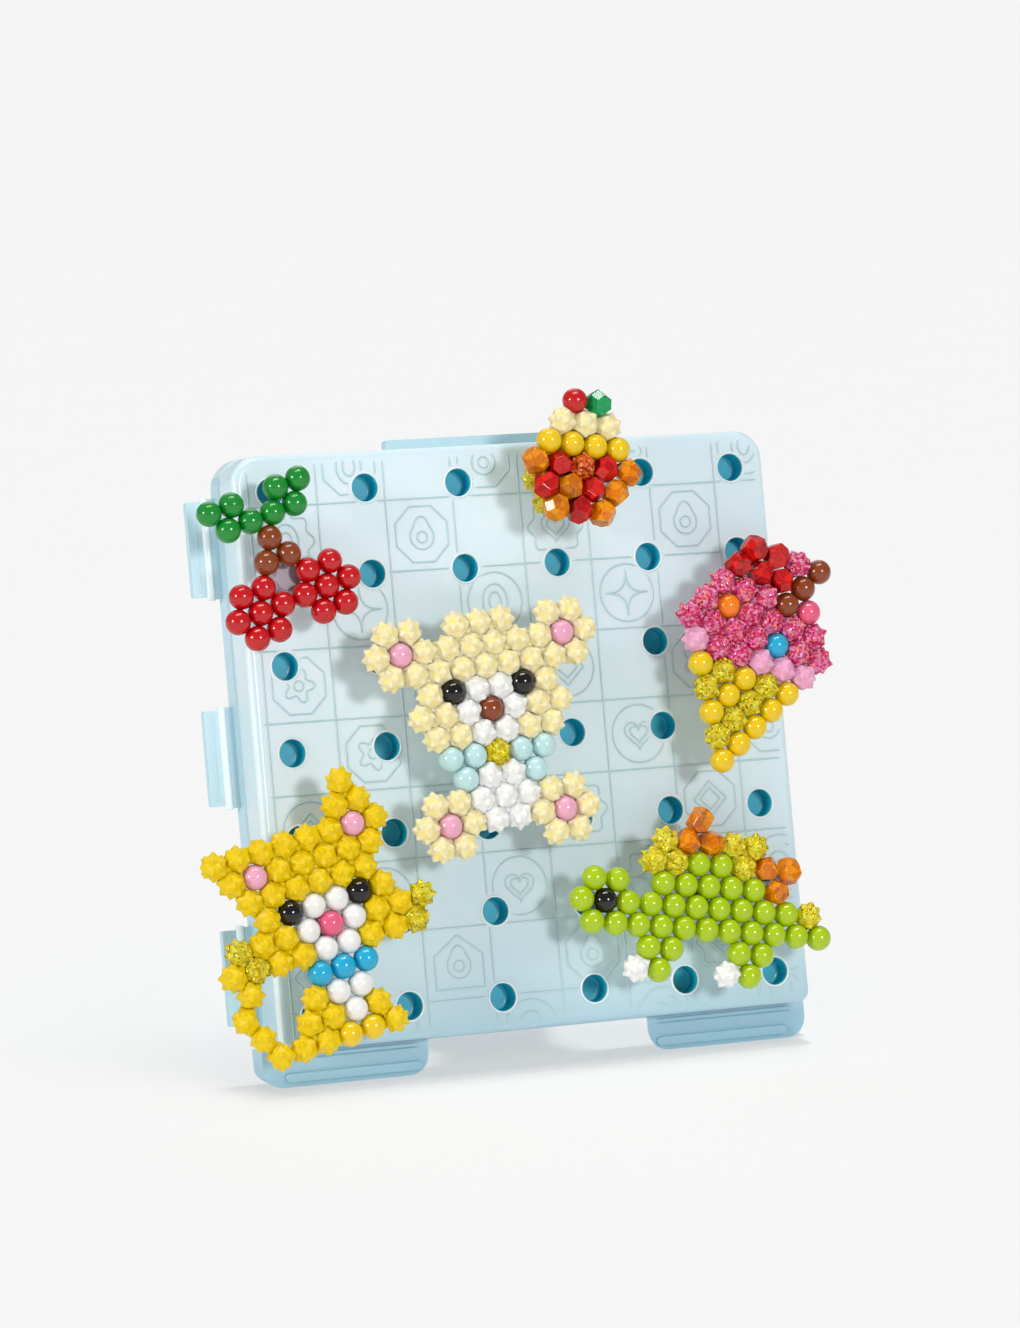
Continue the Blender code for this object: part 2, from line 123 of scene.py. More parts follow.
# Each figure: turn clockwise in degrees, stand-off of the bead centres in mm, the peg's place in
# the plan (character column, row), the plan, and the part and bead that each letter stands for.
# Odd rows sit half a bead to the right.
FIGURES = {
    "cherries": (-17.6, 8.5, (5.7, 4.0), (
        " l l   l l",
        "  l l l l",
        "     s",
        "    s s",
        " c c   c c",
        "c c c c c c",
        " c c   c c",
    ), {"l": ("leaves", "green ball"), "s": ("stem", "brown ball"), "c": ("fruit", "red ball")}),
    "bear": (-4.1, 12.0, (9.8, 5.3), (
        " h h   h h h   h h",
        "h i h h h h h h i h",
        " h h h h h h h h h",
        "    h e m m f h",
        "   h h m n m h h",
        "    h h m m h h",
        "     a a k b b",
        "      a t t b",
        "   p p t t t q q",
        "  p u p t t q v q",
        "   p p       q q",
    ), {"h": ("head", "cream star"), "i": ("head", "pink ball"), "e": ("eye_left", "black ball"),
        "f": ("eye_right", "black ball"), "m": ("muzzle", "white star"),
        "n": ("nose", "brown ball"), "k": ("bow_knot", "amber glitter"),
        "a": ("bow_left", "ice ball"), "b": ("bow_right", "ice ball"),
        "t": ("tummy", "white star"), "p": ("paw_left", "cream star"),
        "u": ("paw_left", "pink ball"), "q": ("paw_right", "cream star"),
        "v": ("paw_right", "pink ball")}),
    "cat": (-12.1, 12.0, (8.9, 6.1), (
        "             y",
        "            y y",
        " y y y y y y p y",
        "  y p y y y y y",
        "   y y y y y y",
        "    y e m m f y",
        " a y y m n m y y a",
        "y a y y m m y y a",
        " y     c c c",
        "y     y b b",
        " y   y y b y",
        "  y y y w w y",
    ), {"y": ("fur", "gold star"), "p": ("fur", "pink ball"), "a": ("fur", "amber glitter"),
        "w": ("fur", "yellow ball"), "e": ("eye_left", "black ball"),
        "f": ("eye_right", "black ball"), "m": ("muzzle", "white ball"),
        "n": ("nose", "rose ball"), "c": ("collar", "blue ball"), "b": ("belly", "white ball")}),
    "dinosaur": (8.6, 12.0, (10.6, 3.3), (
        "          f",
        "       a f f b b",
        "      a a g g b r r",
        " g g   g g g g g r",
        "g e g g g g g g g g t",
        " g g g g g g g g g g g",
        "      g g     g g",
        "     u g     v g",
    ), {"g": ("body", "lime ball"), "e": ("eye", "black ball"), "f": ("crest_front", "orange jewel"),
        "a": ("crest_front", "lemon glitter"), "r": ("crest_rear", "orange jewel"),
        "b": ("crest_rear", "lemon glitter"), "t": ("tail_tip", "lemon glitter"),
        "u": ("claw_front", "white star"), "v": ("claw_rear", "white star")}),
    "cupcake": (9.7, 13.4, (3.6, 3.2), (
        "   r j",
        "  w w w",
        " y y y y",
        "c d u d c",
        " d c d c",
        "  c d c",
    ), {"r": ("cherry", "red ball"), "j": ("jewel", "green jewel"), "w": ("cream", "cream star"),
        "y": ("sponge", "yellow ball"), "c": ("case", "orange jewel"), "d": ("case", "red jewel"),
        "u": ("case", "umber glitter"), "z": ("rear_layer", "amber glitter")}),
    "icecream": (21.7, 12.0, (7.2, 3.4), (
        "    r r d w",
        "   r r r w",
        "  m m m w h",
        " m o m m m m",
        "m m m m b m m",
        " s m m i i i",
        "  c a c a c",
        "   a c a c",
        "    c a c",
        "     a c",
        "      c",
    ), {"r": ("jewels", "red jewel"), "m": ("scoop", "magenta glitter"), "o": ("scoop", "orange ball"),
        "b": ("scoop", "blue ball"), "s": ("scoop", "blush star"), "w": ("wafer", "brown ball"),
        "h": ("candy", "rose ball"), "d": ("star", "magenta glitter"),
        "i": ("icing", "blush star"), "c": ("cone", "yellow ball"), "a": ("cone", "amber glitter")}),
}
# The second layer of beads behind the cupcake, on the same grid.
CUPCAKE_REAR = ("", "    z z", "   z z z", "  z z z", " z z z", "  z z")


# ---------------------------------------------------------------- materials
class Nodes:
    """Short way to write a material's node tree."""

    def __init__(self, name):
        self.mat = bpy.data.materials.new(name)
        self.mat.use_nodes = True
        self.tree = self.mat.node_tree
        self.shader = self.tree.nodes["Principled BSDF"]
        self.coords = self.add("ShaderNodeTexCoord").outputs["Object"]

    def add(self, kind, **settings):
        node = self.tree.nodes.new(kind)
        for key, value in settings.items():
            setattr(node, key, value)
        return node

    def put(self, socket, value):
        if isinstance(value, bpy.types.NodeSocket):
            self.tree.links.new(value, socket)
        else:
            socket.default_value = value

    def set(self, **values):
        for key, value in values.items():
            self.put(self.shader.inputs[key.replace("_", " ")], value)

    def noise(self, per_mm, detail=2.0, stretch=(1, 1, 1)):
        place = self.add("ShaderNodeMapping")
        place.inputs["Scale"].default_value = stretch
        self.put(place.inputs["Vector"], self.coords)
        node = self.add("ShaderNodeTexNoise")
        node.inputs["Scale"].default_value = per_mm / MM
        node.inputs["Detail"].default_value = detail
        self.put(node.inputs["Vector"], place.outputs[0])
        return node.outputs["Fac"]

    def cells(self, per_mm, feature="F1", output="Color"):
        node = self.add("ShaderNodeTexVoronoi", feature=feature)
        node.inputs["Scale"].default_value = per_mm / MM
        self.put(node.inputs["Vector"], self.coords)
        return node.outputs[output]

    def ramp(self, factor, *stops, smooth=True):
        """Colours by factor; each stop is (place, colour), or a number for a grey."""
        node = self.add("ShaderNodeValToRGB")
        node.color_ramp.interpolation = "LINEAR" if smooth else "CONSTANT"
        points = node.color_ramp.elements
        while len(points) < len(stops):
            points.new(1.0)
        for point, (place, colour) in zip(points, stops):
            point.position = place
            tone = colour if isinstance(colour, tuple) else (colour,) * 3
            point.color = (*tone, 1)
        self.put(node.inputs[0], factor)
        return node.outputs[0]

    def mix(self, factor, a, b):
        node = self.add("ShaderNodeMix", data_type="RGBA")
        self.put(node.inputs["Factor"], factor)
        for socket, value in ((node.inputs[6], a), (node.inputs[7], b)):
            self.put(socket, (*value, 1) if isinstance(value, tuple) else value)
        return node.outputs[2]

    def math(self, operation, a, b=0.0, c=0.0):
        node = self.add("ShaderNodeMath", operation=operation)
        for socket, value in zip(node.inputs, (a, b, c)):
            self.put(socket, value)
        return node.outputs[0]

    def scaled(self, value, low, high):
        """A 0 to 1 value spread over low to high."""
        return self.math("MULTIPLY_ADD", value, high - low, low)

    def attribute(self, name):
        return self.add("ShaderNodeAttribute", attribute_name=name).outputs["Fac"]

    def bump(self, height, depth, strength):
        node = self.add("ShaderNodeBump")
        node.inputs["Strength"].default_value = strength
        node.inputs["Distance"].default_value = depth
        self.put(node.inputs["Height"], height)
        self.put(self.shader.inputs["Normal"], node.outputs[0])


def shade(colour, gain):
    """Darker or lighter tone of a colour."""
    return tuple(min(1.0, c * gain) for c in colour)


def toward(a, b, share):
    """Colour part of the way from a to b."""
    return tuple(x + (y - x) * share for x, y in zip(a, b))


def ball_material(name, colour):
    """Glossy moulded bead: colour swirls, a satin film and fine waviness of the skin."""
    n = Nodes(name)
    inner = 0.55 if max(colour) > 0.7 else 0.15
    rough = 0.10 if max(colour) < 0.01 else 0.17
    swirl = n.noise(0.55, 3.0)
    n.set(Base_Color=n.mix(n.scaled(swirl, 0.1, 0.9), shade(colour, 0.88), shade(colour, 1.08)),
          Roughness=n.scaled(n.noise(1.4), rough, rough + 0.05), Subsurface_Weight=inner,
          Subsurface_Radius=(1.0, 0.6, 0.4), Subsurface_Scale=1.2 * MM, Specular_IOR_Level=0.60)
    n.bump(n.noise(0.9, 1.0), 0.03 * MM, 0.5)
    return n.mat


def star_material(name, colour, hollow_glow):
    """Opaque spiked bead: its colour at the tips, a brighter saturated tone painted in the hollows as
    glow of light through the bead, waxy sheen.
    """
    n = Nodes(name)
    # Painted glow: where the tip value is low, in the hollows and where beads meet, the colour turns
    # to the brighter hollow tone, standing in for light shining through the bead.
    body = n.mix(n.ramp(n.attribute("tip"), (0.0, 0), (0.06, 0.35), (0.45, 1)), hollow_glow, colour)
    n.set(Base_Color=n.mix(n.scaled(n.noise(0.8), 0.0, 0.35), body, shade(colour, 1.06)),
          Roughness=n.scaled(n.noise(2.0), 0.26, 0.40), Subsurface_Weight=0.5,
          Subsurface_Radius=(1.0, 0.8, 0.5), Subsurface_Scale=0.5 * MM, Specular_IOR_Level=0.26)
    n.bump(n.noise(2.2, 2.0), 0.03 * MM, 0.6)
    return n.mat


def glitter_material(name, colour, pale, dark, spark):
    """Clear tinted bead full of tiny flakes that shine, show dark or show the tint, with painted shade
    in the hollows between its spikes.
    """
    n = Nodes(name)
    flake = n.add("ShaderNodeSeparateColor")
    n.put(flake.inputs[0], n.cells(2.1))
    picked = n.ramp(flake.outputs[0], (0.0, dark), (0.18, colour), (0.55, toward(colour, pale, 0.5)),
                    (0.78, pale), smooth=False)
    # Painted shade: towards the hollows (low tip value) the flakes darken.
    body = n.mix(n.attribute("tip"), n.mix(0.4, picked, shade(colour, 0.8)), picked)
    body = n.mix(n.math("GREATER_THAN", flake.outputs[1], 0.88), body, spark)
    n.set(Base_Color=body, Roughness=n.scaled(flake.outputs[1], 0.08, 0.35),
          Transmission_Weight=0.08, IOR=1.46, Subsurface_Weight=0.2,
          Subsurface_Radius=(1.0, 0.7, 0.6), Subsurface_Scale=0.8 * MM, Specular_IOR_Level=0.3,
          Metallic=n.math("GREATER_THAN", flake.outputs[2], 0.9))
    n.bump(n.cells(2.1, output="Distance"), 0.22 * MM, 0.8)
    return n.mat


def jewel_material(name, colour, glow):
    """Clear tinted facets with painted light: a random tone per facet and bright cells stand in for
    refraction, fine dark lines for back facets seen through it, and pale edge strips for highlights.
    """
    n = Nodes(name)
    # Painted refraction: each facet's random value gives it a darker or brighter tone; the edge strips
    # carry the top value and get the palest tone, a painted highlight.
    depth = n.ramp(n.attribute("facet"), (0.0, shade(colour, 0.50)), (0.40, colour),
                   (0.8, glow), (1.0, shade(glow, 1.15)))
    # Painted inner reflections: cells of darker, plain, glowing and brighter tone.
    split = n.add("ShaderNodeSeparateColor")
    n.put(split.inputs[0], n.cells(0.62))
    inner = n.ramp(split.outputs[0], (0.0, shade(colour, 0.55)), (0.25, colour), (0.55, glow),
                   (0.85, shade(glow, 1.2)), smooth=False)
    # Painted dark lines along the cell edges, for back facets seen through the jewel.
    clear = n.ramp(n.cells(0.62, "DISTANCE_TO_EDGE", "Distance"), (0.0, 0), (0.035, 0.2), (0.07, 1))
    body = n.mix(0.45, depth, inner)
    n.set(Base_Color=n.mix(clear, n.mix(BACK_FACET_LINE_SHADE, body, shade(colour, 0.22)), body),
          Roughness=n.scaled(n.noise(1.5), 0.10, 0.18), Transmission_Weight=0.15, IOR=1.5,
          Specular_IOR_Level=0.4, Subsurface_Weight=0.4, Subsurface_Radius=(1.0, 0.5, 0.4),
          Subsurface_Scale=1.2 * MM)
    n.bump(n.noise(1.1, 1.0), 0.03 * MM, 0.4)
    return n.mat


COLOURS = {
    "green": (0.002, 0.240, 0.022), "brown": (0.235, 0.043, 0.006), "red": (0.520, 0.001, 0.004),
    "cream": (0.800, 0.725, 0.470), "black": (0.002, 0.002, 0.002), "white": (0.800, 0.800, 0.780),
    "pink": (0.790, 0.390, 0.530), "amber": (0.690, 0.510, 0.0005), "ice": (0.500, 0.720, 0.720),
    "yellow": (0.790, 0.555, 0.0008), "rose": (0.770, 0.110, 0.220), "blue": (0.008, 0.380, 0.620),
    "lime": (0.385, 0.545, 0.0003), "orange": (0.850, 0.215, 0.0003), "lemon": (0.740, 0.560, 0.0005),
    "magenta": (0.680, 0.030, 0.150), "blush": (0.740, 0.380, 0.540), "umber": (0.600, 0.050, 0.004),
    "gold": (0.730, 0.535, 0.0004),
}
# The other tones of a bead: a glitter's pale, dark and shining flakes, the brighter tone painted in
# a star's hollows as glow of light through it, and the painted glow of a jewel's brightest facets.
FLAKES = {
    "amber": ((0.85, 0.75, 0.05), (0.34, 0.28, 0.002), (0.72, 0.76, 0.10)),
    "lemon": ((0.92, 0.85, 0.10), (0.50, 0.36, 0.003), (0.62, 0.72, 0.04)),
    "magenta": ((0.85, 0.38, 0.66), (0.48, 0.01, 0.06), (0.86, 0.26, 0.16)),
    "umber": ((0.86, 0.20, 0.02), (0.10, 0.01, 0.005), (0.85, 0.40, 0.10)),
}
STAR_HOLLOW_GLOW = {"cream": (0.93, 0.76, 0.15), "gold": (0.88, 0.58, 0.0), "white": (0.80, 0.80, 0.76),
           "blush": (0.88, 0.34, 0.56)}
GLOW = {"orange": (0.95, 0.35, 0.006), "red": (0.80, 0.020, 0.014), "green": (0.005, 0.42, 0.15)}
BACK_FACET_LINE_SHADE = 0.38  # how strongly the painted dark lines of back facets, seen through a jewel, darken it
MATERIALS = {}


def bead_material(finish):
    """The material of a finish such as "red ball", made when it is first asked for."""
    if finish not in MATERIALS:
        colour, kind = finish.split()
        look = (finish.replace(" ", "_"), COLOURS[colour])
        if kind == "ball":
            MATERIALS[finish] = ball_material(*look)
        elif kind == "star":
            MATERIALS[finish] = star_material(*look, STAR_HOLLOW_GLOW[colour])
        elif kind == "glitter":
            MATERIALS[finish] = glitter_material(*look, *FLAKES[colour])
        else:
            MATERIALS[finish] = jewel_material(*look, GLOW[colour])
    return MATERIALS[finish]


def plastic(name, colour, rough, tint=None, low=None, glow=0.1, coat=0.2):
    """Moulded board plastic: faint flow marks, soft gloss and a little light inside.

    Low is a darker, bluer tone painted in near the ground as shade.
    """
    n = Nodes(name)
    marks = n.mix(0.5, n.noise(0.05, 3.0, (1, 1, 0.35)), n.noise(0.4, 4.0, (1, 1, 0.5)))
    marks = n.ramp(marks, (0.3, 0), (0.7, 1))
    body = n.mix(marks, shade(colour, 0.98), tint or shade(colour, 1.04))
    if low:
        # Painted shade: darker and bluer towards the ground, by height.
        height = n.add("ShaderNodeSeparateXYZ")
        n.put(height.inputs[0], n.coords)
        ground_shade = n.ramp(n.math("DIVIDE", height.outputs[2], BOARD_HEIGHT), (0.0, 1), (0.075, 0.6),
                      (0.16, 0.3), (0.45, 0.05), (0.85, 0), (1.0, 0.1))
        body = n.mix(ground_shade, body, low)
    n.set(Base_Color=body, Roughness=n.scaled(n.noise(0.9, 3.0), rough - 0.05, rough + 0.07),
          Subsurface_Weight=glow, Subsurface_Radius=(0.3, 0.85, 1.0), Subsurface_Scale=2.4 * MM,
          Coat_Weight=coat, Coat_Roughness=0.12)
    n.bump(n.noise(1.6, 3.0), 0.012 * MM, 0.5)
    return n.mat


def metal(name, colour, rough):
    """Turned metal with fine marks round its axis."""
    n = Nodes(name)
    brushed = n.noise(1.5, 3.0, (0.15, 1, 1))
    n.set(Base_Color=n.mix(brushed, shade(colour, 0.85), colour), Metallic=1.0,
          Roughness=n.scaled(brushed, rough, rough + 0.15))
    n.bump(brushed, 0.01 * MM, 0.5)
    return n.mat


# The aqua and tab plastics carry painted shade: darker towards the ground.
AQUA_MATERIAL = plastic("aqua_plastic", (0.655, 0.825, 0.870), 0.30, (0.705, 0.822, 0.900),
                        (0.255, 0.480, 0.600), glow=0.25)
LINE_MATERIAL = plastic("aqua_plastic_line", (0.440, 0.660, 0.700), 0.34)
# Dark plastic painted as the shade of a groove.
GROOVE_SHADE_MATERIAL = plastic("aqua_plastic_groove_shade", (0.20, 0.46, 0.56), 0.34)
# Pale plastic painted on ridges and rims as a highlight.
PAINTED_HIGHLIGHT_MATERIAL = plastic("aqua_plastic_painted_highlight", (0.75, 0.88, 0.905), 0.25)
TAB_MATERIAL = plastic("aqua_plastic_tab", (0.48, 0.69, 0.77), 0.30, low=(0.26, 0.50, 0.62))
TEAL_MATERIAL = plastic("teal_plastic", (0.03, 0.36, 0.48), 0.42)
# Teal socket plastic; its darkness is partly painted shade of the holes' insides.
SOCKET_MATERIAL = plastic("socket_plastic", (0.004, 0.46, 0.62), 0.40)
LILAC_MATERIAL = plastic("lilac_plastic", (0.46, 0.40, 0.47), 0.28, glow=0.3)
STEEL_MATERIAL = metal("pin_steel", (0.62, 0.62, 0.64), 0.2)


# ---------------------------------------------------------------- mesh helpers
# Only the pieces in this collection shade the floor; show() fills it.
FLOOR_CASTERS = bpy.data.collections.new("floor_casters")


def show(obj, body, slot, *nodes):
    """Let a finished piece move with its body and stand for CAD nodes, which it hides; slot is not
    used.
    """
    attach(obj, body)
    if body in ("board", "leg"):
        FLOOR_CASTERS.objects.link(obj)
    if nodes:
        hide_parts(*nodes)


def placed(name, mesh, materials, matrix):
    """A mesh as an object of the scene, with its materials."""
    if matrix is not None:
        mesh.transform(matrix)
    for mat in materials:
        mesh.materials.append(mat)
    obj = bpy.data.objects.new(name, mesh)
    bpy.context.scene.collection.objects.link(obj)
    return obj


def mesh_object(name, verts, faces, materials, matrix=BOARD, smooth=True):
    mesh = bpy.data.meshes.new(name)
    mesh.from_pydata([tuple(v) for v in verts], [], faces)
    if smooth:
        mesh.shade_smooth()
    return placed(name, mesh, materials, matrix)


def bm_object(bm, name, materials=(), matrix=None):
    bmesh.ops.recalc_face_normals(bm, faces=bm.faces)
    mesh = bpy.data.meshes.new(name)
    bm.to_mesh(mesh)
    bm.free()
    return placed(name, mesh, materials, matrix)


def apply_modifiers(obj):
    bpy.context.view_layer.update()
    graph = bpy.context.evaluated_depsgraph_get()
    mesh = bpy.data.meshes.new_from_object(obj.evaluated_get(graph))
    obj.modifiers.clear()
    old = obj.data
    obj.data = mesh
    bpy.data.meshes.remove(old)


def combine(obj, steps):
    """Boolean steps (other object, operation) applied to obj; the others are removed."""
    for other, operation in steps:
        mod = obj.modifiers.new(other.name, "BOOLEAN")
        mod.operation = operation
        mod.object = other
        mod.solver = "EXACT"
    apply_modifiers(obj)
    for other, _ in steps:
        bpy.data.objects.remove(other)


def round_edges(obj, width, segments=3, angle=40):
    """Bevel the edges that turn more than an angle in degrees."""
    bevel = obj.modifiers.new("round", "BEVEL")
    bevel.width = width
    bevel.segments = segments
    bevel.limit_method = "ANGLE"
    bevel.angle_limit = radians(angle)
    apply_modifiers(obj)


def shade_cleanly(obj):
    """Smooth curves, sharp creases and even shading on the large flat faces."""
    obj.data.shade_smooth()
    obj.data.set_sharp_from_angle(angle=radians(40))
    weighted = obj.modifiers.new("even_shading", "WEIGHTED_NORMAL")
    weighted.keep_sharp = True
    weighted.weight = 100


def polygon(cx, cy, r, sides, phase=0.0):
    """Regular polygon about a centre; with many sides it is a circle."""
    return [(cx + r * cos(phase + 2 * pi * i / sides), cy + r * sin(phase + 2 * pi * i / sides))
            for i in range(sides)]


def outline(x0, x1, y0, y1, radii, steps):
    """Anticlockwise rounded rectangle; radii run bottom left, bottom right, top right, top left."""
    corners = ((x0, y0, 1, 1), (x1, y0, -1, 1), (x1, y1, -1, -1), (x0, y1, 1, -1))
    points = []
    for k, (cx, cy, sx, sy) in enumerate(corners):
        r = max(radii[k], 0.05 * MM)
        for i in range(steps + 1):
            a = pi + k * pi / 2 + i * pi / 2 / steps
            points.append((cx + sx * r + r * cos(a), cy + sy * r + r * sin(a)))
    return points


def bridge(bm, loops):
    """Skin from each closed loop of vertices to the next."""
    for a, b in zip(loops, loops[1:]):
        for i in range(len(a)):
            j = (i + 1) % len(a)
            bm.faces.new((a[i], a[j], b[j], b[i]))


def prism(bm, points, z0, z1):
    """Straight solid on an outline; returns the vertices of its lower end."""
    low = [bm.verts.new((x, y, z0)) for x, y in points]
    high = [bm.verts.new((x, y, z1)) for x, y in points]
    bm.faces.new(low[::-1])
    bm.faces.new(high)
    bridge(bm, (low, high))
    return low


def loft(bm, rings):
    """Closed body through rings of equal length, each a list of 3-D points."""
    loops = [[bm.verts.new(p) for p in ring] for ring in rings]
    bridge(bm, loops)
    bm.faces.new(loops[0][::-1])
    bm.faces.new(loops[-1])


def rod(bm, centre, radius, length, axis, sides, end_radius=None):
    """Cylinder, or a cone frustum with another end radius, along X, Y or Z."""
    turn = {"X": Matrix.Rotation(pi / 2, 4, "Y"), "Y": Matrix.Rotation(pi / 2, 4, "X")}
    place = Matrix.Translation(centre) @ turn.get(axis, Matrix.Identity(4))
    bmesh.ops.create_cone(bm, cap_ends=True, segments=sides, radius1=radius, matrix=place,
                          radius2=radius if end_radius is None else end_radius, depth=length)


def lathe(name, profile, materials, matrix, sides=40):
    """Closed solid of revolution about Z from (radius, z) points, first and last on the axis."""
    bm = bmesh.new()
    rings = []
    for r, z in profile:
        circle = polygon(0, 0, r, sides) if r else [(0, 0)]
        rings.append([bm.verts.new((x, y, z)) for x, y in circle])
    for a, b in zip(rings, rings[1:]):
        for i in range(sides):
            j = (i + 1) % sides
            if len(a) == 1:
                bm.faces.new((a[0], b[i], b[j]))
            elif len(b) == 1:
                bm.faces.new((a[i], b[0], a[j]))
            else:
                bm.faces.new((a[i], b[i], b[j], a[j]))
    obj = bm_object(bm, name, materials, matrix)
    shade_cleanly(obj)
    return obj


HOLES = [((col - (HOLE_COLS - 1) / 2) * PITCH_X, ((HOLE_ROWS - 1) / 2 - row) * PITCH_Y)
         for row in range(HOLE_ROWS) for col in range(HOLE_COLS)]


# ---------------------------------------------------------------- front shell
def board_outline(inset, steps=8, low_radius=R_BOTTOM):
    """Outline of the board moved inwards, with its corners that much tighter."""
    low, high = low_radius - inset, R_TOP - inset
    return outline(-HALF_W + inset, HALF_W - inset, -BOTTOM + inset, TOP - inset,
                   (low, low, high, high), steps)


def shell_ring(inset, z):
    return [(x, y, z) for x, y in board_outline(inset, 10)]


def make_shell():
    """Front moulding: stepped side wall, rounded rim, feet with ribs and round peg holes."""
    bm = bmesh.new()
    step = -DEPTH + FLANGE_DEPTH
    rings = [shell_ring(0.25 * MM, -DEPTH), shell_ring(0.0, -DEPTH + 0.25 * MM),
             shell_ring(0.0, step - 0.2 * MM), shell_ring(0.12 * MM, step),
             shell_ring(FLANGE_STEP, step + 0.25 * MM)]
    for i in range(7):
        a = i * pi / 12
        rings.append(shell_ring(FLANGE_STEP + EDGE_ROUND * (1 - cos(a)), -EDGE_ROUND * (1 - sin(a))))
    loft(bm, rings)
    shell = bm_object(bm, "shell_front_moulding", [AQUA_MATERIAL])

    bm = bmesh.new()
    prism(bm, board_outline(WALL_T), -DEPTH - 1 * MM, -FACE_T)
    cavity = bm_object(bm, "cavity")

    # A foot's rear end is narrower on its inner side, and higher so that the sole lies level.
    bm = bmesh.new()
    r = FOOT_CORNER
    rise = (DEPTH - FOOT_FRONT) * OUT.z / -OUT.y
    for side in (-1, 1):
        x0, x1 = sorted((side * FOOT_IN, side * FOOT_OUT))
        rear = prism(bm, outline(x0, x1, -FOOT_DROP, -BOTTOM + 1.2 * MM, (r, r, 0, 0), 8),
                     -DEPTH, -FOOT_FRONT)
        for v in rear:
            near = max(0.0, 1 - abs(v.co.x - side * FOOT_IN) / FOOT_DRAFT_REACH)
            v.co.x += side * FOOT_DRAFT * near
            v.co.y += rise * max(0.0, -FOOT_DROP + r - v.co.y) / r
    feet = bm_object(bm, "feet")
    round_edges(feet, 0.5 * MM)

    bm = bmesh.new()
    for side in (-1, 1):
        x0, x1 = sorted((side * (FOOT_IN + 1.6 * MM), side * (FOOT_OUT - 4.5 * MM)))
        prism(bm, outline(x0, x1, -RIB_Y - RIB_R, -RIB_Y + RIB_R, (RIB_R * 0.98,) * 4, 5),
              -FOOT_FRONT - 0.5 * MM, -FOOT_FRONT + RIB_OUT)
    ribs = bm_object(bm, "ribs")
    round_edges(ribs, 0.45 * MM)

    bm = bmesh.new()
    for x, y in HOLES:
        rod(bm, (x, y, -FACE_T / 2), HOLE_R, FACE_T + 4 * MM, "Z", 48)
    holes = bm_object(bm, "holes")
    bm = bmesh.new()
    for x, y in HOLES:
        rod(bm, (x, y, 0), HOLE_R - CHAMFER, 4 * CHAMFER, "Z", 48, HOLE_R + 3 * CHAMFER)
    chamfers = bm_object(bm, "chamfers")

    combine(shell, [(cavity, "DIFFERENCE"), (feet, "UNION"), (ribs, "UNION"), (holes, "DIFFERENCE"),
                    (chamfers, "DIFFERENCE")])
    paint_shell(shell.data, step)
    shell.data.transform(BOARD)
    shade_cleanly(shell)
    show(shell, "board", "board", "front_shell")


def paint_shell(mesh, step):
    """Deeper tone on the flange, fine lines at its step and rear edge, and a pale line on the left
    rim: a painted highlight.
    """
    for mat in (TAB_MATERIAL, LINE_MATERIAL, PAINTED_HIGHLIGHT_MATERIAL):
        mesh.materials.append(mat)
    flange, line, pale = 1, 2, 3
    for face in mesh.polygons:
        x, y, z = face.center
        edge = min(x + HALF_W, HALF_W - x, TOP - y, y + BOTTOM)
        if edge < 0.6 * MM and y > -BOTTOM - 0.1 * MM:
            if abs(z - step) < 0.35 * MM or z < -DEPTH + 0.3 * MM:
                face.material_index = line
            elif z < step:
                face.material_index = flange
        # Painted highlight: a pale line along the rounded rim, on the left side only.
        if 0.25 * MM < x + HALF_W < 1.0 * MM and -1.3 * MM < z < -0.15 * MM:
            face.material_index = pale


def make_tabs():
    """Three side tabs, each a plate, a round ridge and two raised strips, and the lip at the top."""
    half = TAB_LENGTH / 2
    wall = -HALF_W + 0.9 * MM
    bm = bmesh.new()
    for y in TAB_Y:
        prism(bm, outline(-HALF_W - TAB_OUT, wall, y - half, y + half, (0.5 * MM,) * 4, 3),
              -DEPTH, -DEPTH + TAB_T)
    prism(bm, outline(-LIP_HALF_W, LIP_HALF_W, TOP - 1 * MM, LIP_TOP, (0, 0, 0.7 * MM, 0.7 * MM), 4),
          -DEPTH, -DEPTH + LIP_T)
    plates = bm_object(bm, "tab_plates", [TAB_MATERIAL], BOARD)
    bm = bmesh.new()
    for y in TAB_Y:
        x0 = -HALF_W - RIDGE_OUT + RIDGE_R * 0.8
        prism(bm, outline(x0, wall, y - half - 0.5 * MM, y + half + 0.5 * MM, (0.2 * MM,) * 4, 2),
              -DEPTH + 0.2 * MM, -DEPTH + TAB_T + 0.6 * MM)
        x0 = -HALF_W - TAB_OUT + 1.3 * MM
        prism(bm, outline(x0, x0 + 0.45 * MM, y - half + MM, y + half - MM, (0.1 * MM,) * 4, 2),
              -DEPTH + MM, -DEPTH + TAB_T + 0.12 * MM)
    strips = bm_object(bm, "tab_strips", [TAB_MATERIAL], BOARD)
    bm = bmesh.new()
    for y in TAB_Y:
        rod(bm, (-HALF_W - RIDGE_OUT, y, -DEPTH + TAB_T), RIDGE_R, TAB_LENGTH + 1.6 * MM, "Y", 28)
    # The round ridges are painted pale: a painted highlight.
    ridges = bm_object(bm, "tab_ridges", [PAINTED_HIGHLIGHT_MATERIAL], BOARD)
    for obj, width in ((plates, 0.3 * MM), (strips, 0.1 * MM), (ridges, 0.25 * MM)):
        round_edges(obj, width, angle=30)
        shade_cleanly(obj)
        show(obj, "board", "board")


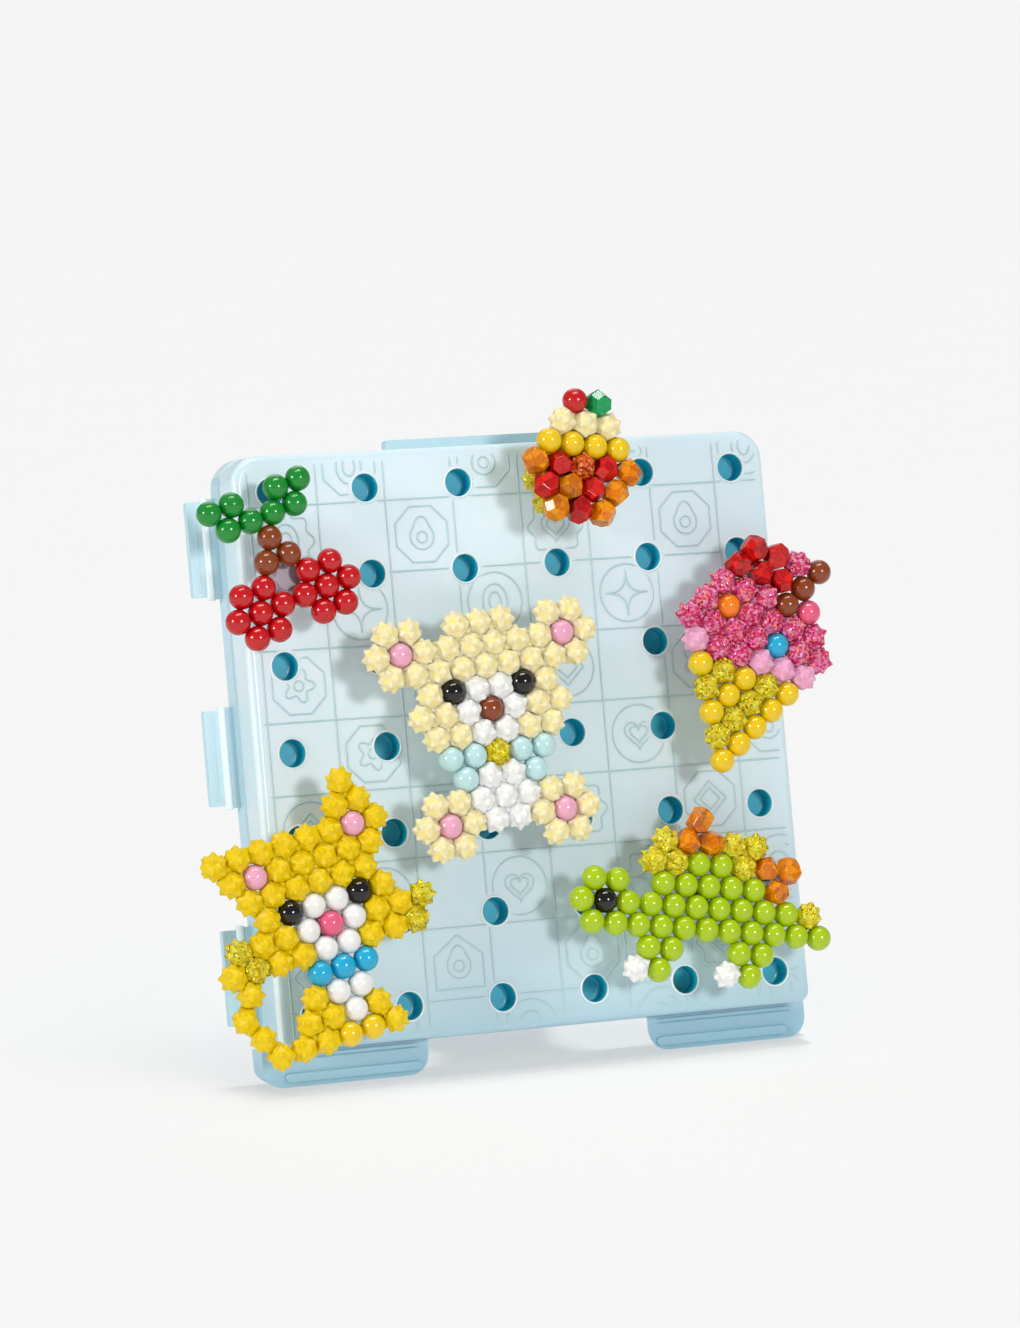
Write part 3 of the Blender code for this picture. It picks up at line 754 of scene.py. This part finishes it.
def make_sockets():
    """Cups that line the peg holes, all one piece; those with a peg in them are deeper."""
    bm = bmesh.new()
    pegs = [TO_BOARD @ Vector(j["pos_m"]) for name, j in JOINTS.items() if name.endswith("_swivel")]
    for x, y in HOLES:
        pegged = any(hypot(p.x - x, p.y - y) < PITCH_X / 2 for p in pegs)
        floor = -7.0 * MM if pegged else -3.9 * MM
        rings = ((HOLE_R - 0.03 * MM, -0.45 * MM), (HOLE_R - 0.03 * MM, floor + 0.8 * MM),
                 (HOLE_R - 0.25 * MM, floor + 0.25 * MM), (HOLE_R - 0.8 * MM, floor))
        loops = [[bm.verts.new((*p, z)) for p in polygon(x, y, r, 40)] for r, z in rings]
        bridge(bm, loops)
        bm.faces.new(loops[-1])
    # The dark teal of the cups is partly painted shade far inside the holes.
    obj = bm_object(bm, "peg_sockets", [SOCKET_MATERIAL], BOARD)
    solid = obj.modifiers.new("wall", "SOLIDIFY")
    solid.thickness = 0.6 * MM
    solid.offset = 1.0
    apply_modifiers(obj)
    shade_cleanly(obj)
    show(obj, "board", "cover")


# ---------------------------------------------------------------- embossed tiles
def is_free(x, y):
    """Whether a point of the face keeps off the rim, its rounded top corners and the holes."""
    edge = LINE_TO_RIM
    if abs(x) >= HALF_W - edge or not -BOTTOM + edge < y < TOP - edge:
        return False
    dx, dy = abs(x) - HALF_W + R_TOP, y - TOP + R_TOP
    if dx > -edge and dy > -edge and hypot(dx, dy) > R_TOP - edge:
        return False
    return all(hypot(x - hx, y - hy) > HOLE_R + LINE_TO_HOLE for hx, hy in HOLES)


def clear_runs(points, closed):
    """Free stretches of a line, resampled evenly, each with whether it is closed."""
    ends = list(points) + ([points[0]] if closed else [])
    dense = []
    for (ax, ay), (bx, by) in zip(ends, ends[1:]):
        count = max(1, round(hypot(bx - ax, by - ay) / LINE_STEP))
        dense += [(ax + (bx - ax) * i / count, ay + (by - ay) * i / count) for i in range(count)]
    dense.append(ends[-1])
    if all(is_free(*p) for p in dense):
        return [(dense[:-1] if closed else dense, closed)]
    if closed:
        start = next(i for i, p in enumerate(dense) if not is_free(*p))
        dense = dense[start:-1] + dense[:start + 1]
    runs = [list(run) for free, run in groupby(dense, lambda p: is_free(*p)) if free]
    return [(run, False) for run in runs if len(run) > 3]


# Cross-section of a moulded line: (across, height) as shares of its width and height.
SECTION = [(-0.5, -0.5), (-0.42, 0.45), (-0.22, 0.88), (0.0, 1.0), (0.22, 0.88), (0.42, 0.45),
           (0.5, -0.5)]


def ridge(verts, faces, points, closed, width=LINE_W, height=LINE_H):
    """A low rounded bead of plastic along a line on the face, tapered at open ends."""
    count = len(points)
    base = len(verts)
    size = len(SECTION)
    for i, (x, y) in enumerate(points):
        a = points[(i - 1) % count] if closed or i else points[0]
        b = points[(i + 1) % count] if closed or i < count - 1 else points[-1]
        length = hypot(b[0] - a[0], b[1] - a[1]) or 1
        nx, ny = (a[1] - b[1]) / length, (b[0] - a[0]) / length
        end = 1.0 if closed else min(1.0, 0.25 + 0.4 * min(i, count - 1 - i))
        for s, h in SECTION:
            verts.append((x + nx * s * width * end, y + ny * s * width * end,
                          h * height * (end if h > 0 else 1)))
    for i in range(count if closed else count - 1):
        j = (i + 1) % count
        for k in range(size):
            m = (k + 1) % size
            faces.append((base + i * size + m, base + i * size + k,
                          base + j * size + k, base + j * size + m))
    if not closed:
        faces.append(tuple(base + k for k in range(size)))
        faces.append(tuple(base + (count - 1) * size + k for k in reversed(range(size))))


def polar(cx, cy, radius, count=96):
    """Closed line at radius(angle) about a centre."""
    return [(cx + radius(a) * cos(a), cy + radius(a) * sin(a))
            for a in [2 * pi * i / count for i in range(count)]]


def four_point_star(cx, cy, r):
    """Star with four long points and hollow sides."""
    points = []
    for q in range(4):
        a0 = q * pi / 2
        for i in range(12):
            t = i / 12
            x, y = r * (1 - t) ** 2.2, r * t ** 2.2
            points.append((cx + x * cos(a0) - y * sin(a0), cy + x * sin(a0) + y * cos(a0)))
    return points


def heart(cx, cy, s):
    """Heart curve of half width s."""
    return [(cx + s * sin(t) ** 3,
             cy + s * (0.81 * cos(t) - 0.31 * cos(2 * t) - 0.12 * cos(3 * t) - 0.06 * cos(4 * t)))
            for t in [2 * pi * i / 60 for i in range(60)]]


def swirl(cx, cy, r):
    """Open spiral of two turns."""
    return [(cx + r * t * cos(2.2 * 2 * pi * t), cy + r * t * sin(2.2 * 2 * pi * t))
            for t in [0.12 + 0.88 * i / 90 for i in range(91)]]


def frame_lines(kind, cx, cy):
    """The outer outline of a tile's motif: octagon, ring, scalloped ring or house shape."""
    if kind == "octagon":
        return polygon(cx, cy, 6.0 * MM, 8, pi / 8)
    if kind == "ring":
        return polygon(cx, cy, 5.8 * MM, 96)
    if kind == "scallop":
        return polar(cx, cy, lambda a: (5.5 + 0.55 * cos(8 * a)) * MM, 128)
    wall, floor, eaves, ridge_top = 5.2 * MM, -5 * MM, 1.6 * MM, 5.6 * MM
    return [(cx - wall, cy + floor), (cx + wall, cy + floor), (cx + wall, cy + eaves),
            (cx, cy + ridge_top), (cx - wall, cy + eaves)]


def figure_lines(kind, cx, cy):
    """The inner drawing of a motif as closed lines; plain shapes only."""
    if kind == "star":
        return [four_point_star(cx, cy, 4.6 * MM)]
    if kind == "drop":
        return [polar(cx, cy - 0.5 * MM, lambda a: (2.5 + 1.5 * max(0.0, sin(a)) ** 8) * MM),
                polygon(cx, cy - 0.6 * MM, 1.1 * MM, 40)]
    if kind == "heart":
        return [heart(cx, cy, 3.1 * MM), heart(cx, cy + 0.1 * MM, 1.9 * MM)]
    if kind == "oval":
        return [polar(cx, cy, lambda a: 3.3 * MM / hypot(1.25 * cos(a), 0.95 * sin(a))),
                polar(cx, cy, lambda a: 1.7 * MM / hypot(1.35 * cos(a), 0.9 * sin(a)))]
    if kind == "diamond":
        return [polygon(cx, cy, 3.6 * MM, 4), polygon(cx, cy, 2.2 * MM, 4)]
    return [polar(cx, cy, lambda a: (2.7 + 0.7 * cos(5 * a)) * MM), polygon(cx, cy, 1.0 * MM, 36)]


# Motifs by tile (column, row): the outline and what it holds. The other tiles follow a cycle.
MOTIFS = {
    (1, 0): ("octagon", "oval"), (0, 1): ("scallop", "oval"), (2, 1): ("octagon", "drop"),
    (4, 1): ("scallop", "heart"), (6, 1): ("octagon", "drop"), (1, 2): ("ring", "star"),
    (3, 2): ("ring", "oval"), (5, 2): ("ring", "star"), (1, 4): ("octagon", "flower"),
    (5, 4): ("ring", "heart"), (4, 5): ("scallop", "diamond"), (6, 5): ("octagon", "diamond"),
    (3, 6): ("ring", "heart"), (2, 7): ("house", "drop"), (4, 7): ("octagon", "drop"),
    (5, 8): ("ring", "swirl"), (7, 6): ("ring", "swirl"),
}
FRAME_CYCLE = ("octagon", "ring", "scallop")
FIGURE_CYCLE = ("drop", "heart", "oval", "flower", "star", "diamond")


def make_tiles():
    """Moulded grid of tiles, a motif on every other tile, hole rims painted pale as a highlight, and
    two dark lines on each foot, painted shade of a groove.
    """
    verts, faces, lines = [], [], []
    for i in range(9):
        x, y = TILE_LEFT + i * TILE_W, TILE_TOP - i * TILE_H
        lines += [([(x, -BOTTOM), (x, TOP)], False), ([(-HALF_W, y), (HALF_W, y)], False)]
    for i in range(8):
        for j in range(1 - i % 2, 9, 2):
            cx, cy = TILE_LEFT + (i + 0.5) * TILE_W, TILE_TOP - (j + 0.5) * TILE_H
            pick = (FRAME_CYCLE[(i + 2 * j) % 3], FIGURE_CYCLE[(2 * i + j) % 6])
            around, inside = MOTIFS.get((i, j), pick)
            lines.append((frame_lines(around, cx, cy), True))
            if inside == "swirl":
                lines.append((swirl(cx, cy, 4.2 * MM), False))
            else:
                lines += [(line, True) for line in figure_lines(inside, cx, cy)]
    for points, closed in lines:
        for run, whole in clear_runs(points, closed):
            ridge(verts, faces, run, whole)
    plain = len(faces)
    # Raised rims round the holes, in the pale plastic: painted highlight.
    for x, y in HOLES:
        ridge(verts, faces, polygon(x, y, HOLE_R + 0.16 * MM, 64), True, height=0.14 * MM)
    obj = mesh_object("face_relief", verts, faces, [LINE_MATERIAL, PAINTED_HIGHLIGHT_MATERIAL])
    obj.data.polygons.foreach_set("material_index", [int(i >= plain) for i in range(len(faces))])
    show(obj, "board", "board")

    # Two dark lines on each foot: painted shade of the groove under the face's bottom edge.
    verts, faces = [], []
    for side in (-1, 1):
        x0, x1 = sorted((side * (FOOT_IN + 2 * MM), side * (FOOT_OUT - 3 * MM)))
        for y in (-BOTTOM - 0.5 * MM, -BOTTOM - 1.35 * MM):
            line = [(x0 + (x1 - x0) * i / 40, y) for i in range(41)]
            ridge(verts, faces, line, False, 0.3 * MM, 0.2 * MM)
    obj = mesh_object("foot_groove_shade_lines", [(x, y, z - FOOT_FRONT) for x, y, z in verts], faces,
                      [GROOVE_SHADE_MATERIAL])
    show(obj, "board", "board")


# ---------------------------------------------------------------- rear cover, leg and pin
HINGE_Y = (TO_BOARD @ HINGE).y
HINGE_Z = (TO_BOARD @ HINGE).z
COVER_T = 2.3 * MM
LUG_IN, LUG_T, LUG_R = 12.3 * MM, 3.0 * MM, 4.0 * MM
PIN_R, BORE_R = 1.1 * MM, 1.25 * MM
LEG_T = 2.6 * MM
LEG_TOP_HALF_W, LEG_FOOT_HALF_W, LEG_HEEL = 12.0 * MM, 21.0 * MM, 4.8 * MM
LEG_WAIST, LEG_ANKLE = 12.0 * MM, 10.0 * MM
LEG_TILT = radians(14.7)


def make_cover():
    """Teal rear plate with four recessed panels and two bored lugs for the leg."""
    bm = bmesh.new()
    inset = WALL_T + 0.3 * MM
    prism(bm, board_outline(inset, low_radius=inset + 0.5 * MM), -DEPTH, -DEPTH + COVER_T)
    cover = bm_object(bm, "cover_rear_plate", [TEAL_MATERIAL])
    bm = bmesh.new()
    for side in (-1, 1):
        for y0, y1 in ((-48 * MM, -2 * MM), (6 * MM, 48 * MM)):
            x0, x1 = sorted((side * 24 * MM, side * 50 * MM))
            prism(bm, outline(x0, x1, y0, y1, (3 * MM,) * 4, 6), -DEPTH - 1 * MM, -DEPTH + 0.6 * MM)
    recess = bm_object(bm, "recess")
    bm = bmesh.new()
    arc = [(HINGE_Z + LUG_R * cos(a), HINGE_Y + LUG_R * sin(a))
           for a in [pi / 2 + i * pi / 16 for i in range(17)]]
    root = -DEPTH + 0.8 * MM
    profile = [(root, HINGE_Y + LUG_R)] + arc + [(root, HINGE_Y - LUG_R)]
    for side in (-1, 1):
        x0, x1 = sorted((side * LUG_IN, side * (LUG_IN + LUG_T)))
        loft(bm, [[(x, y, z) for z, y in profile] for x in (x0, x1)])
    lugs = bm_object(bm, "lugs")
    round_edges(lugs, 0.3 * MM, 2)
    bm = bmesh.new()
    rod(bm, (0, HINGE_Y, HINGE_Z), BORE_R, 40 * MM, "X", 32)
    bore = bm_object(bm, "bore")
    combine(cover, [(recess, "DIFFERENCE"), (lugs, "UNION"), (bore, "DIFFERENCE")])
    cover.data.transform(BOARD)
    shade_cleanly(cover)
    show(cover, "board", "cover", "rear_cover")


def leg_outline(length, inset, top):
    """The leg's outline moved inwards, up to a given height above the hinge."""
    waist, ankle = -LEG_WAIST - inset / 4, LEG_ANKLE - length
    side = ((LEG_FOOT_HALF_W - inset, -length + inset), (LEG_FOOT_HALF_W - inset, ankle),
            (LEG_TOP_HALF_W - inset, waist), (LEG_TOP_HALF_W - inset, top))
    return [(-x, y) for x, y in side[:1]] + list(side) + [(-x, y) for x, y in side[:0:-1]]


def make_leg():
    """Prop leg with a barrel, a recess in both faces and a sole cut to lie flat."""
    place = Matrix.Translation(HINGE) @ Matrix.Rotation(pi / 2 + LEG_TILT, 4, "X")
    length = HINGE.z / cos(LEG_TILT)
    bm = bmesh.new()
    prism(bm, leg_outline(length, 0, LEG_HEEL), -LEG_T / 2, LEG_T / 2)
    for v in bm.verts:
        if v.co.y < -length + 1 * MM:
            v.co.y += v.co.z * tan(LEG_TILT)
    leg = bm_object(bm, "leg_prop", [AQUA_MATERIAL])
    round_edges(leg, 0.4 * MM)
    bm = bmesh.new()
    for side in (-1, 1):
        face = side * LEG_T / 2
        z0, z1 = sorted((face - side * 0.6 * MM, face + side * 1 * MM))
        prism(bm, leg_outline(length, 2.6 * MM, -6 * MM), z0, z1)
    recess = bm_object(bm, "leg_recess")
    bm = bmesh.new()
    rod(bm, (0, 0, 0), 3.0 * MM, 2 * LEG_TOP_HALF_W, "X", 36)
    barrel = bm_object(bm, "barrel")
    bm = bmesh.new()
    rod(bm, (0, 0, 0), BORE_R, 30 * MM, "X", 32)
    bore = bm_object(bm, "leg_bore")
    combine(leg, [(recess, "DIFFERENCE"), (barrel, "UNION"), (bore, "DIFFERENCE")])
    leg.data.transform(place)
    shade_cleanly(leg)
    show(leg, "leg", "board", "easel_leg")


def make_pin():
    """Steel hinge pin with a round-edged head at each end."""
    half = LUG_IN + LUG_T + 0.9 * MM
    head, rim, soft = 0.7 * MM, 1.9 * MM, 0.2 * MM
    profile = [(0, half), (rim - soft, half), (rim, half - soft), (rim, half - head),
               (PIN_R, half - head)]
    profile += [(r, -z) for r, z in reversed(profile)]
    pin = lathe("pin_hinge", profile, [STEEL_MATERIAL],
                Matrix.Translation(HINGE) @ Matrix.Rotation(pi / 2, 4, "Y"), 32)
    show(pin, "board", "pin_metal", "hinge_pin")


# ---------------------------------------------------------------- pegs and hubs
def make_peg_and_hub(figure, peg, hub_top):
    """Peg with a collar and a grooved, tapered shank, and the eight-sided hub that turns on it.

    The profiles are in mm, and hub_top is the hub's height above the face.
    """
    place = Matrix.Translation(peg) @ BOARD.to_3x3().to_4x4()
    base = 2.9 if hub_top < 7 else 5.6
    pin_top, stalk_top = hub_top - 1.1, base - 0.3
    profile = [(0, pin_top), (1.3, pin_top), (1.6, pin_top - 0.3), (1.6, stalk_top),
               (1.95, stalk_top), (2.1, stalk_top - 0.15), (2.1, 1.7), (2.4, 1.4), (3.5, 1.4),
               (3.7, 1.2), (3.7, 0.4), (3.5, 0.2), (2.5, 0.2), (2.5, -1.2), (2.3, -1.45),
               (2.3, -1.95), (2.5, -2.2), (2.5, -4.8), (1.9, -5.6), (0, -5.6)]
    peg_obj = lathe("peg_turned_" + figure, [(r * MM, z * MM) for r, z in profile],
                    [LILAC_MATERIAL], place, 36)
    show(peg_obj, figure + "_peg", "peg_plastic", "peg_" + figure)

    rise, wall, soft, bore = hub_top - base, 2.95, 0.18, 1.95
    profile = [(0, rise), (wall - soft, rise), (wall, rise - soft), (wall, soft), (wall - soft, 0),
               (bore, 0), (bore, rise - 0.8), (0, rise - 0.8)]
    hub = lathe("hub_disc_" + figure, [(r * MM, z * MM) for r, z in profile],
                [LILAC_MATERIAL], place @ Matrix.Translation((0, 0, base * MM)), 8)
    hub.data.shade_flat()
    show(hub, figure + "_figure", "peg_plastic", "hub_" + figure)


# ---------------------------------------------------------------- bead shapes
def arrays(bm):
    """Vertices as an array and faces as tuples of indices."""
    bm.verts.ensure_lookup_table()
    verts = np.array([v.co for v in bm.verts])
    faces = [tuple(v.index for v in f.verts) for f in bm.faces]
    bm.free()
    return verts, faces


def hull(points):
    """Convex body on the points, with its flat facets whole."""
    bm = bmesh.new()
    for p in points:
        bm.verts.new(p)
    bmesh.ops.convex_hull(bm, input=bm.verts)
    bmesh.ops.dissolve_limit(bm, angle_limit=radians(2), verts=bm.verts, edges=bm.edges)
    return bm


def ball_shape(level=4):
    bm = bmesh.new()
    bmesh.ops.create_icosphere(bm, subdivisions=level, radius=1.0)
    return arrays(bm)


def jewel_shape():
    """Cut body of 8 hexagonal and 6 square facets, one hexagon facing along Z."""
    points = []
    for _, b, c in permutations(range(3)):
        for s1, s2 in product((-1, 1), repeat=2):
            p = [0, 0, 0]
            p[b], p[c] = s1, 2 * s2
            points.append(Vector(p) / sqrt(5))
    bm = hull(points)
    bmesh.ops.bevel(bm, geom=bm.edges[:], offset=0.022, segments=2, profile=0.6, affect="EDGES")
    bmesh.ops.rotate(bm, verts=bm.verts,
                     matrix=Vector((1, 1, 1)).rotation_difference(Vector((0, 0, 1))).to_matrix())
    return arrays(bm)


def star_shape():
    """Body of 18 square and 8 triangular facets with a rounded pyramid on every square one."""
    tall = 1 + sqrt(2)
    points = []
    for axis in range(3):
        for signs in product((-1, 1), repeat=3):
            p = list(signs)
            p[axis] *= tall
            points.append(Vector(p) / sqrt(2 + tall * tall))
    bm = hull(points)
    for v in bm.verts:
        v.co *= STAR_VALLEY / STAR_R
    bm.normal_update()
    bmesh.ops.recalc_face_normals(bm, faces=bm.faces)
    for face in [f for f in bm.faces if len(f.verts) == 4]:
        bmesh.ops.poke(bm, faces=[face], offset=1.15 - face.calc_center_median().length)
    obj = bm_object(bm, "star_template")
    crease = obj.data.attributes.new("crease_edge", "FLOAT", "EDGE")
    crease.data.foreach_set("value", [0.5] * len(obj.data.edges))
    smooth = obj.modifiers.new("soften", "SUBSURF")
    smooth.levels = smooth.render_levels = 2
    apply_modifiers(obj)
    bm = bmesh.new()
    bm.from_mesh(obj.data)
    bpy.data.objects.remove(obj)
    verts, faces = arrays(bm)
    return verts / np.linalg.norm(verts, axis=1).max(), faces


SHAPES = {"ball": ball_shape(), "star": star_shape(), "jewel": jewel_shape(), "filler": ball_shape(3)}
SHAPES["glitter"] = SHAPES["star"]


def shortest(shape, face):
    """Length of a face's shortest side."""
    points = shape[list(face)]
    return np.linalg.norm(points - np.roll(points, 1, axis=0), axis=1).min()


# Facets proper, as against the narrow strips along a jewel's edges.
WIDE = {kind: [shortest(s, f) > 0.2 for f in polys] for kind, (s, polys) in SHAPES.items()}
# By kind of bead: radius, greatest lean, and the neck where beads touch. A neck has the angle to
# which it reaches, the angle within which it is full, and how far it swells.
BEADS = {"ball": (BALL_R, pi, (radians(24), 0.0, 0.10 * MM)),
         "star": (STAR_R, radians(24), (radians(50), radians(20), 0.34 * MM)),
         "jewel": (JEWEL_R, radians(35), (radians(24), 0.0, 0.0))}
BEADS["glitter"] = BEADS["star"]


def fused(verts, centre, others, neck):
    """Pull the skin to the plane halfway to each touching bead, with a small neck round it."""
    reach_angle, full_angle, swell = neck
    rel = verts - centre
    dist = np.linalg.norm(rel, axis=1)
    direction = rel / dist[:, None]
    for other in others:
        gap = other - centre
        half = np.linalg.norm(gap) / 2
        along = direction @ (gap / (2 * half))
        angle = np.arccos(np.clip(along, -1, 1))
        reach = half / np.clip(along, 0.2, 1)
        near = np.clip((reach_angle - angle) / (reach_angle - full_angle), 0, 1)
        rise = swell * near * near * (3 - 2 * near)
        dist = np.where(along > 0.3, np.minimum(dist + rise, reach), dist)
    return centre + direction * dist[:, None]


def fillers(beads):
    """Small beads of plastic where three spiked beads of one finish melt together."""
    found = []
    for i, (_, finish, a) in enumerate(beads):
        if finish.split()[1] not in ("star", "glitter"):
            continue
        near = [c for _, other, c in beads[i + 1:]
                if other == finish and np.linalg.norm(c - a) < TOUCHING]
        for j, b in enumerate(near):
            for c in near[j + 1:]:
                if np.linalg.norm(c - b) < TOUCHING:
                    found.append((finish, (a + b + c) / 3))
    return found


def random_turn(rnd, tilt):
    """Any spin about the board's normal, then a lean of up to the given angle."""
    lean_axis = Vector((rnd.gauss(0, 1), rnd.gauss(0, 1), 0)).normalized()
    lean = Matrix.Rotation(rnd.uniform(0.2, 1.0) * tilt, 3, lean_axis)
    return np.array(lean @ Matrix.Rotation(rnd.uniform(0, 2 * pi), 3, "Z"))


def plan_beads(plan, anchor, turn, level, shift, meaning):
    """Every bead of a plan: part, finish and its centre in board axes about the peg."""
    beads = []
    for row, text in enumerate(plan):
        for col, letter in enumerate(text):
            if letter == " ":
                continue
            u = (col - anchor[0]) * BEAD_PITCH / 2
            v = (row - anchor[1]) * BEAD_PITCH * sqrt(3) / 2
            x = u * cos(turn) - v * sin(turn)
            y = shift - (u * sin(turn) + v * cos(turn))
            beads.append((*meaning[letter], np.array((x, y, level))))
    return beads


def make_part(figure, part, beads, everything, peg, rnd):
    """All beads of one fused block as one piece."""
    verts, faces, slots, smooth, tips, facets = [], [], [], [], [], []
    materials = list(dict.fromkeys(bead_material(finish) for _, finish, _ in beads))

    def add(points, polys, finish, is_smooth, facet, tip):
        start = sum(len(v) for v in verts)
        verts.append(points)
        faces.extend(tuple(i + start for i in poly) for poly in polys)
        slots.extend([materials.index(bead_material(finish))] * len(polys))
        smooth.extend([is_smooth] * len(polys))
        facets.extend(facet)
        tips.append(tip)

    for _, finish, centre in beads:
        kind = finish.split()[1]
        shape, polys = SHAPES[kind]
        radius, lean, neck = BEADS[kind]
        turn = random_turn(rnd, lean)
        size = radius * (1 + rnd.uniform(-0.012, 0.012))
        touching = [c for _, _, c in everything if 0 < np.linalg.norm(c - centre) < TOUCHING]
        skin = fused(shape @ turn.T * size + centre, centre, touching, neck)
        # Random value per facet, the top value on edge strips: the jewel shader paints refraction and
        # highlights from it.
        facet = [rnd.uniform(0, 0.85) if wide else 1.0 for wide in WIDE[kind]]
        # Tip is low in the hollows and where beads meet: the star shader paints glow there, the
        # glitter shader shade.
        radial = np.linalg.norm(shape, axis=1)
        low, height = radial.min(), max(radial.max() - radial.min(), 1e-6)
        tip = np.clip((np.linalg.norm(skin - centre, axis=1) / size - low) / height, 0, 1)
        add(skin, polys, finish, kind != "jewel", facet, tip)
    shape, polys = SHAPES["filler"]
    for finish, centre in fillers(beads):
        # Fillers take a middle tip value, so they carry part of the painted hollow tone.
        add(shape * FILLER_R + centre, polys, finish, True, [0.5] * len(polys),
            np.full(len(shape), 0.3))

    place = Matrix.Translation(peg) @ BOARD.to_3x3().to_4x4()
    obj = mesh_object(figure + "_" + part + "_beads", np.concatenate(verts), faces, materials,
                      place, False)
    obj.data.polygons.foreach_set("material_index", slots)
    obj.data.polygons.foreach_set("use_smooth", smooth)
    for name, kind, values in (("tip", "POINT", np.concatenate(tips)), ("facet", "FACE", facets)):
        values = np.array(values, np.float32)
        obj.data.attributes.new(name, "FLOAT", kind).data.foreach_set("value", values)
    return obj


def make_figures():
    """Every figure's fused blocks, with its peg and hub."""
    slot_of = {s["node"]: s["material_slot"] for s in frame["record"]["subparts"]}
    for figure, (turn, standoff, anchor, plan, meaning) in FIGURES.items():
        rnd = Random(figure)
        peg = Vector(JOINTS[figure + "_swivel"]["pos_m"])
        back = standoff * MM
        beads = plan_beads(plan, anchor, radians(turn), back, 0.0, meaning)
        if figure == "cupcake":
            back -= LAYER_STEP
            beads += plan_beads(CUPCAKE_REAR, anchor, radians(turn), back, LAYER_SHIFT, meaning)
        make_peg_and_hub(figure, peg, (back - BEAD_BACK - HUB_GAP) / MM)
        for part in dict.fromkeys(b[0] for b in beads):
            own = [b for b in beads if b[0] == part]
            obj = make_part(figure, part, own, beads, peg, rnd)
            node = figure + "_" + part
            show(obj, figure + "_figure", slot_of[node], node)


# ---------------------------------------------------------------- stage, light and camera
def direction(azimuth, elevation):
    """Unit vector from the object: azimuth 0 is towards -Y, positive towards +X, in degrees."""
    a, e = radians(azimuth), radians(elevation)
    return Vector((sin(a) * cos(e), -cos(a) * cos(e), sin(e)))


FLOOR_WHITE = (0.42, 0.42, 0.42)
FLOOR_HALF_SIZE = 40
WORLD_STRENGTH = 0.32
VIEW_FROM = direction(-23.79, 9.09)
VIEW_DISTANCE = 1.12
VIEW_TARGET = Vector((0.0058, 0.0, 0.0781))
LENS_MM = 151.8


def make_floor():
    bm = bmesh.new()
    bmesh.ops.create_grid(bm, x_segments=2, y_segments=2, size=FLOOR_HALF_SIZE)
    floor = bm_object(bm, "studio_floor")
    n = Nodes("floor_paper")
    n.set(Base_Color=n.mix(n.noise(0.02), shade(FLOOR_WHITE, 0.997), shade(FLOOR_WHITE, 1.003)),
          Roughness=0.9, Specular_IOR_Level=0.1)
    floor.data.materials.append(n.mat)
    return floor


def add_sun(name, towards, width, strength, floor, floor_only=False, shadow=True):
    """Soft studio light of a given angular width, for all but the floor or for the floor only."""
    data = bpy.data.lights.new(name, "SUN")
    data.energy = strength
    data.angle = radians(width)
    data.use_shadow = shadow
    obj = bpy.data.objects.new(name, data)
    bpy.context.scene.collection.objects.link(obj)
    obj.rotation_mode = "QUATERNION"
    obj.rotation_quaternion = towards.to_track_quat("Z", "Y")
    obj.location = towards
    group = bpy.data.collections.new(name + "_receivers")
    group.objects.link(floor)
    obj.light_linking.receiver_collection = group
    if floor_only:
        obj.light_linking.blocker_collection = FLOOR_CASTERS
    else:
        group.collection_objects[0].light_linking.link_state = "EXCLUDE"


def add_lights(floor):
    """Two keys, a row of three from above and a fill from behind; the floor has its own three."""
    world = bpy.data.worlds.new("studio")
    world.use_nodes = True
    background = world.node_tree.nodes["Background"]
    background.inputs["Color"].default_value = (1, 1, 1, 1)
    background.inputs["Strength"].default_value = WORLD_STRENGTH
    bpy.context.scene.world = world
    add_sun("key_right", direction(10, 18), 9, 1.09, floor)
    add_sun("key_left", direction(-74, 16), 10, 1.16, floor)
    for k, side in enumerate((-0.22, 0.0, 0.22)):
        add_sun("top_%d" % k, Vector((side, -0.09, 1.0)).normalized(), 9, 0.45, floor)
    add_sun("back_fill", direction(165, 40), 40, 0.5, floor)
    add_sun("floor_side", direction(60, 79), 28, 0.80, floor, floor_only=True)
    add_sun("floor_back", direction(168, 76.5), 5, 1.50, floor, floor_only=True)
    add_sun("floor_fill", direction(0, 80), 20, 3.75, floor, floor_only=True, shadow=False)


def add_camera():
    scene = bpy.context.scene
    data = bpy.data.cameras.new("camera")
    data.lens = LENS_MM
    data.sensor_width = 36.0
    data.clip_start, data.clip_end = 0.05, 100
    cam = bpy.data.objects.new("camera", data)
    scene.collection.objects.link(cam)
    cam.location = VIEW_TARGET + VIEW_FROM * VIEW_DISTANCE
    cam.rotation_mode = "QUATERNION"
    cam.rotation_quaternion = (-VIEW_FROM).to_track_quat("-Z", "Y")
    scene.camera = cam
    scene.view_settings.view_transform = "Standard"


add_lights(make_floor())
add_camera()
make_shell()
make_tabs()
make_sockets()
make_tiles()
make_cover()
make_leg()
make_pin()
make_figures()
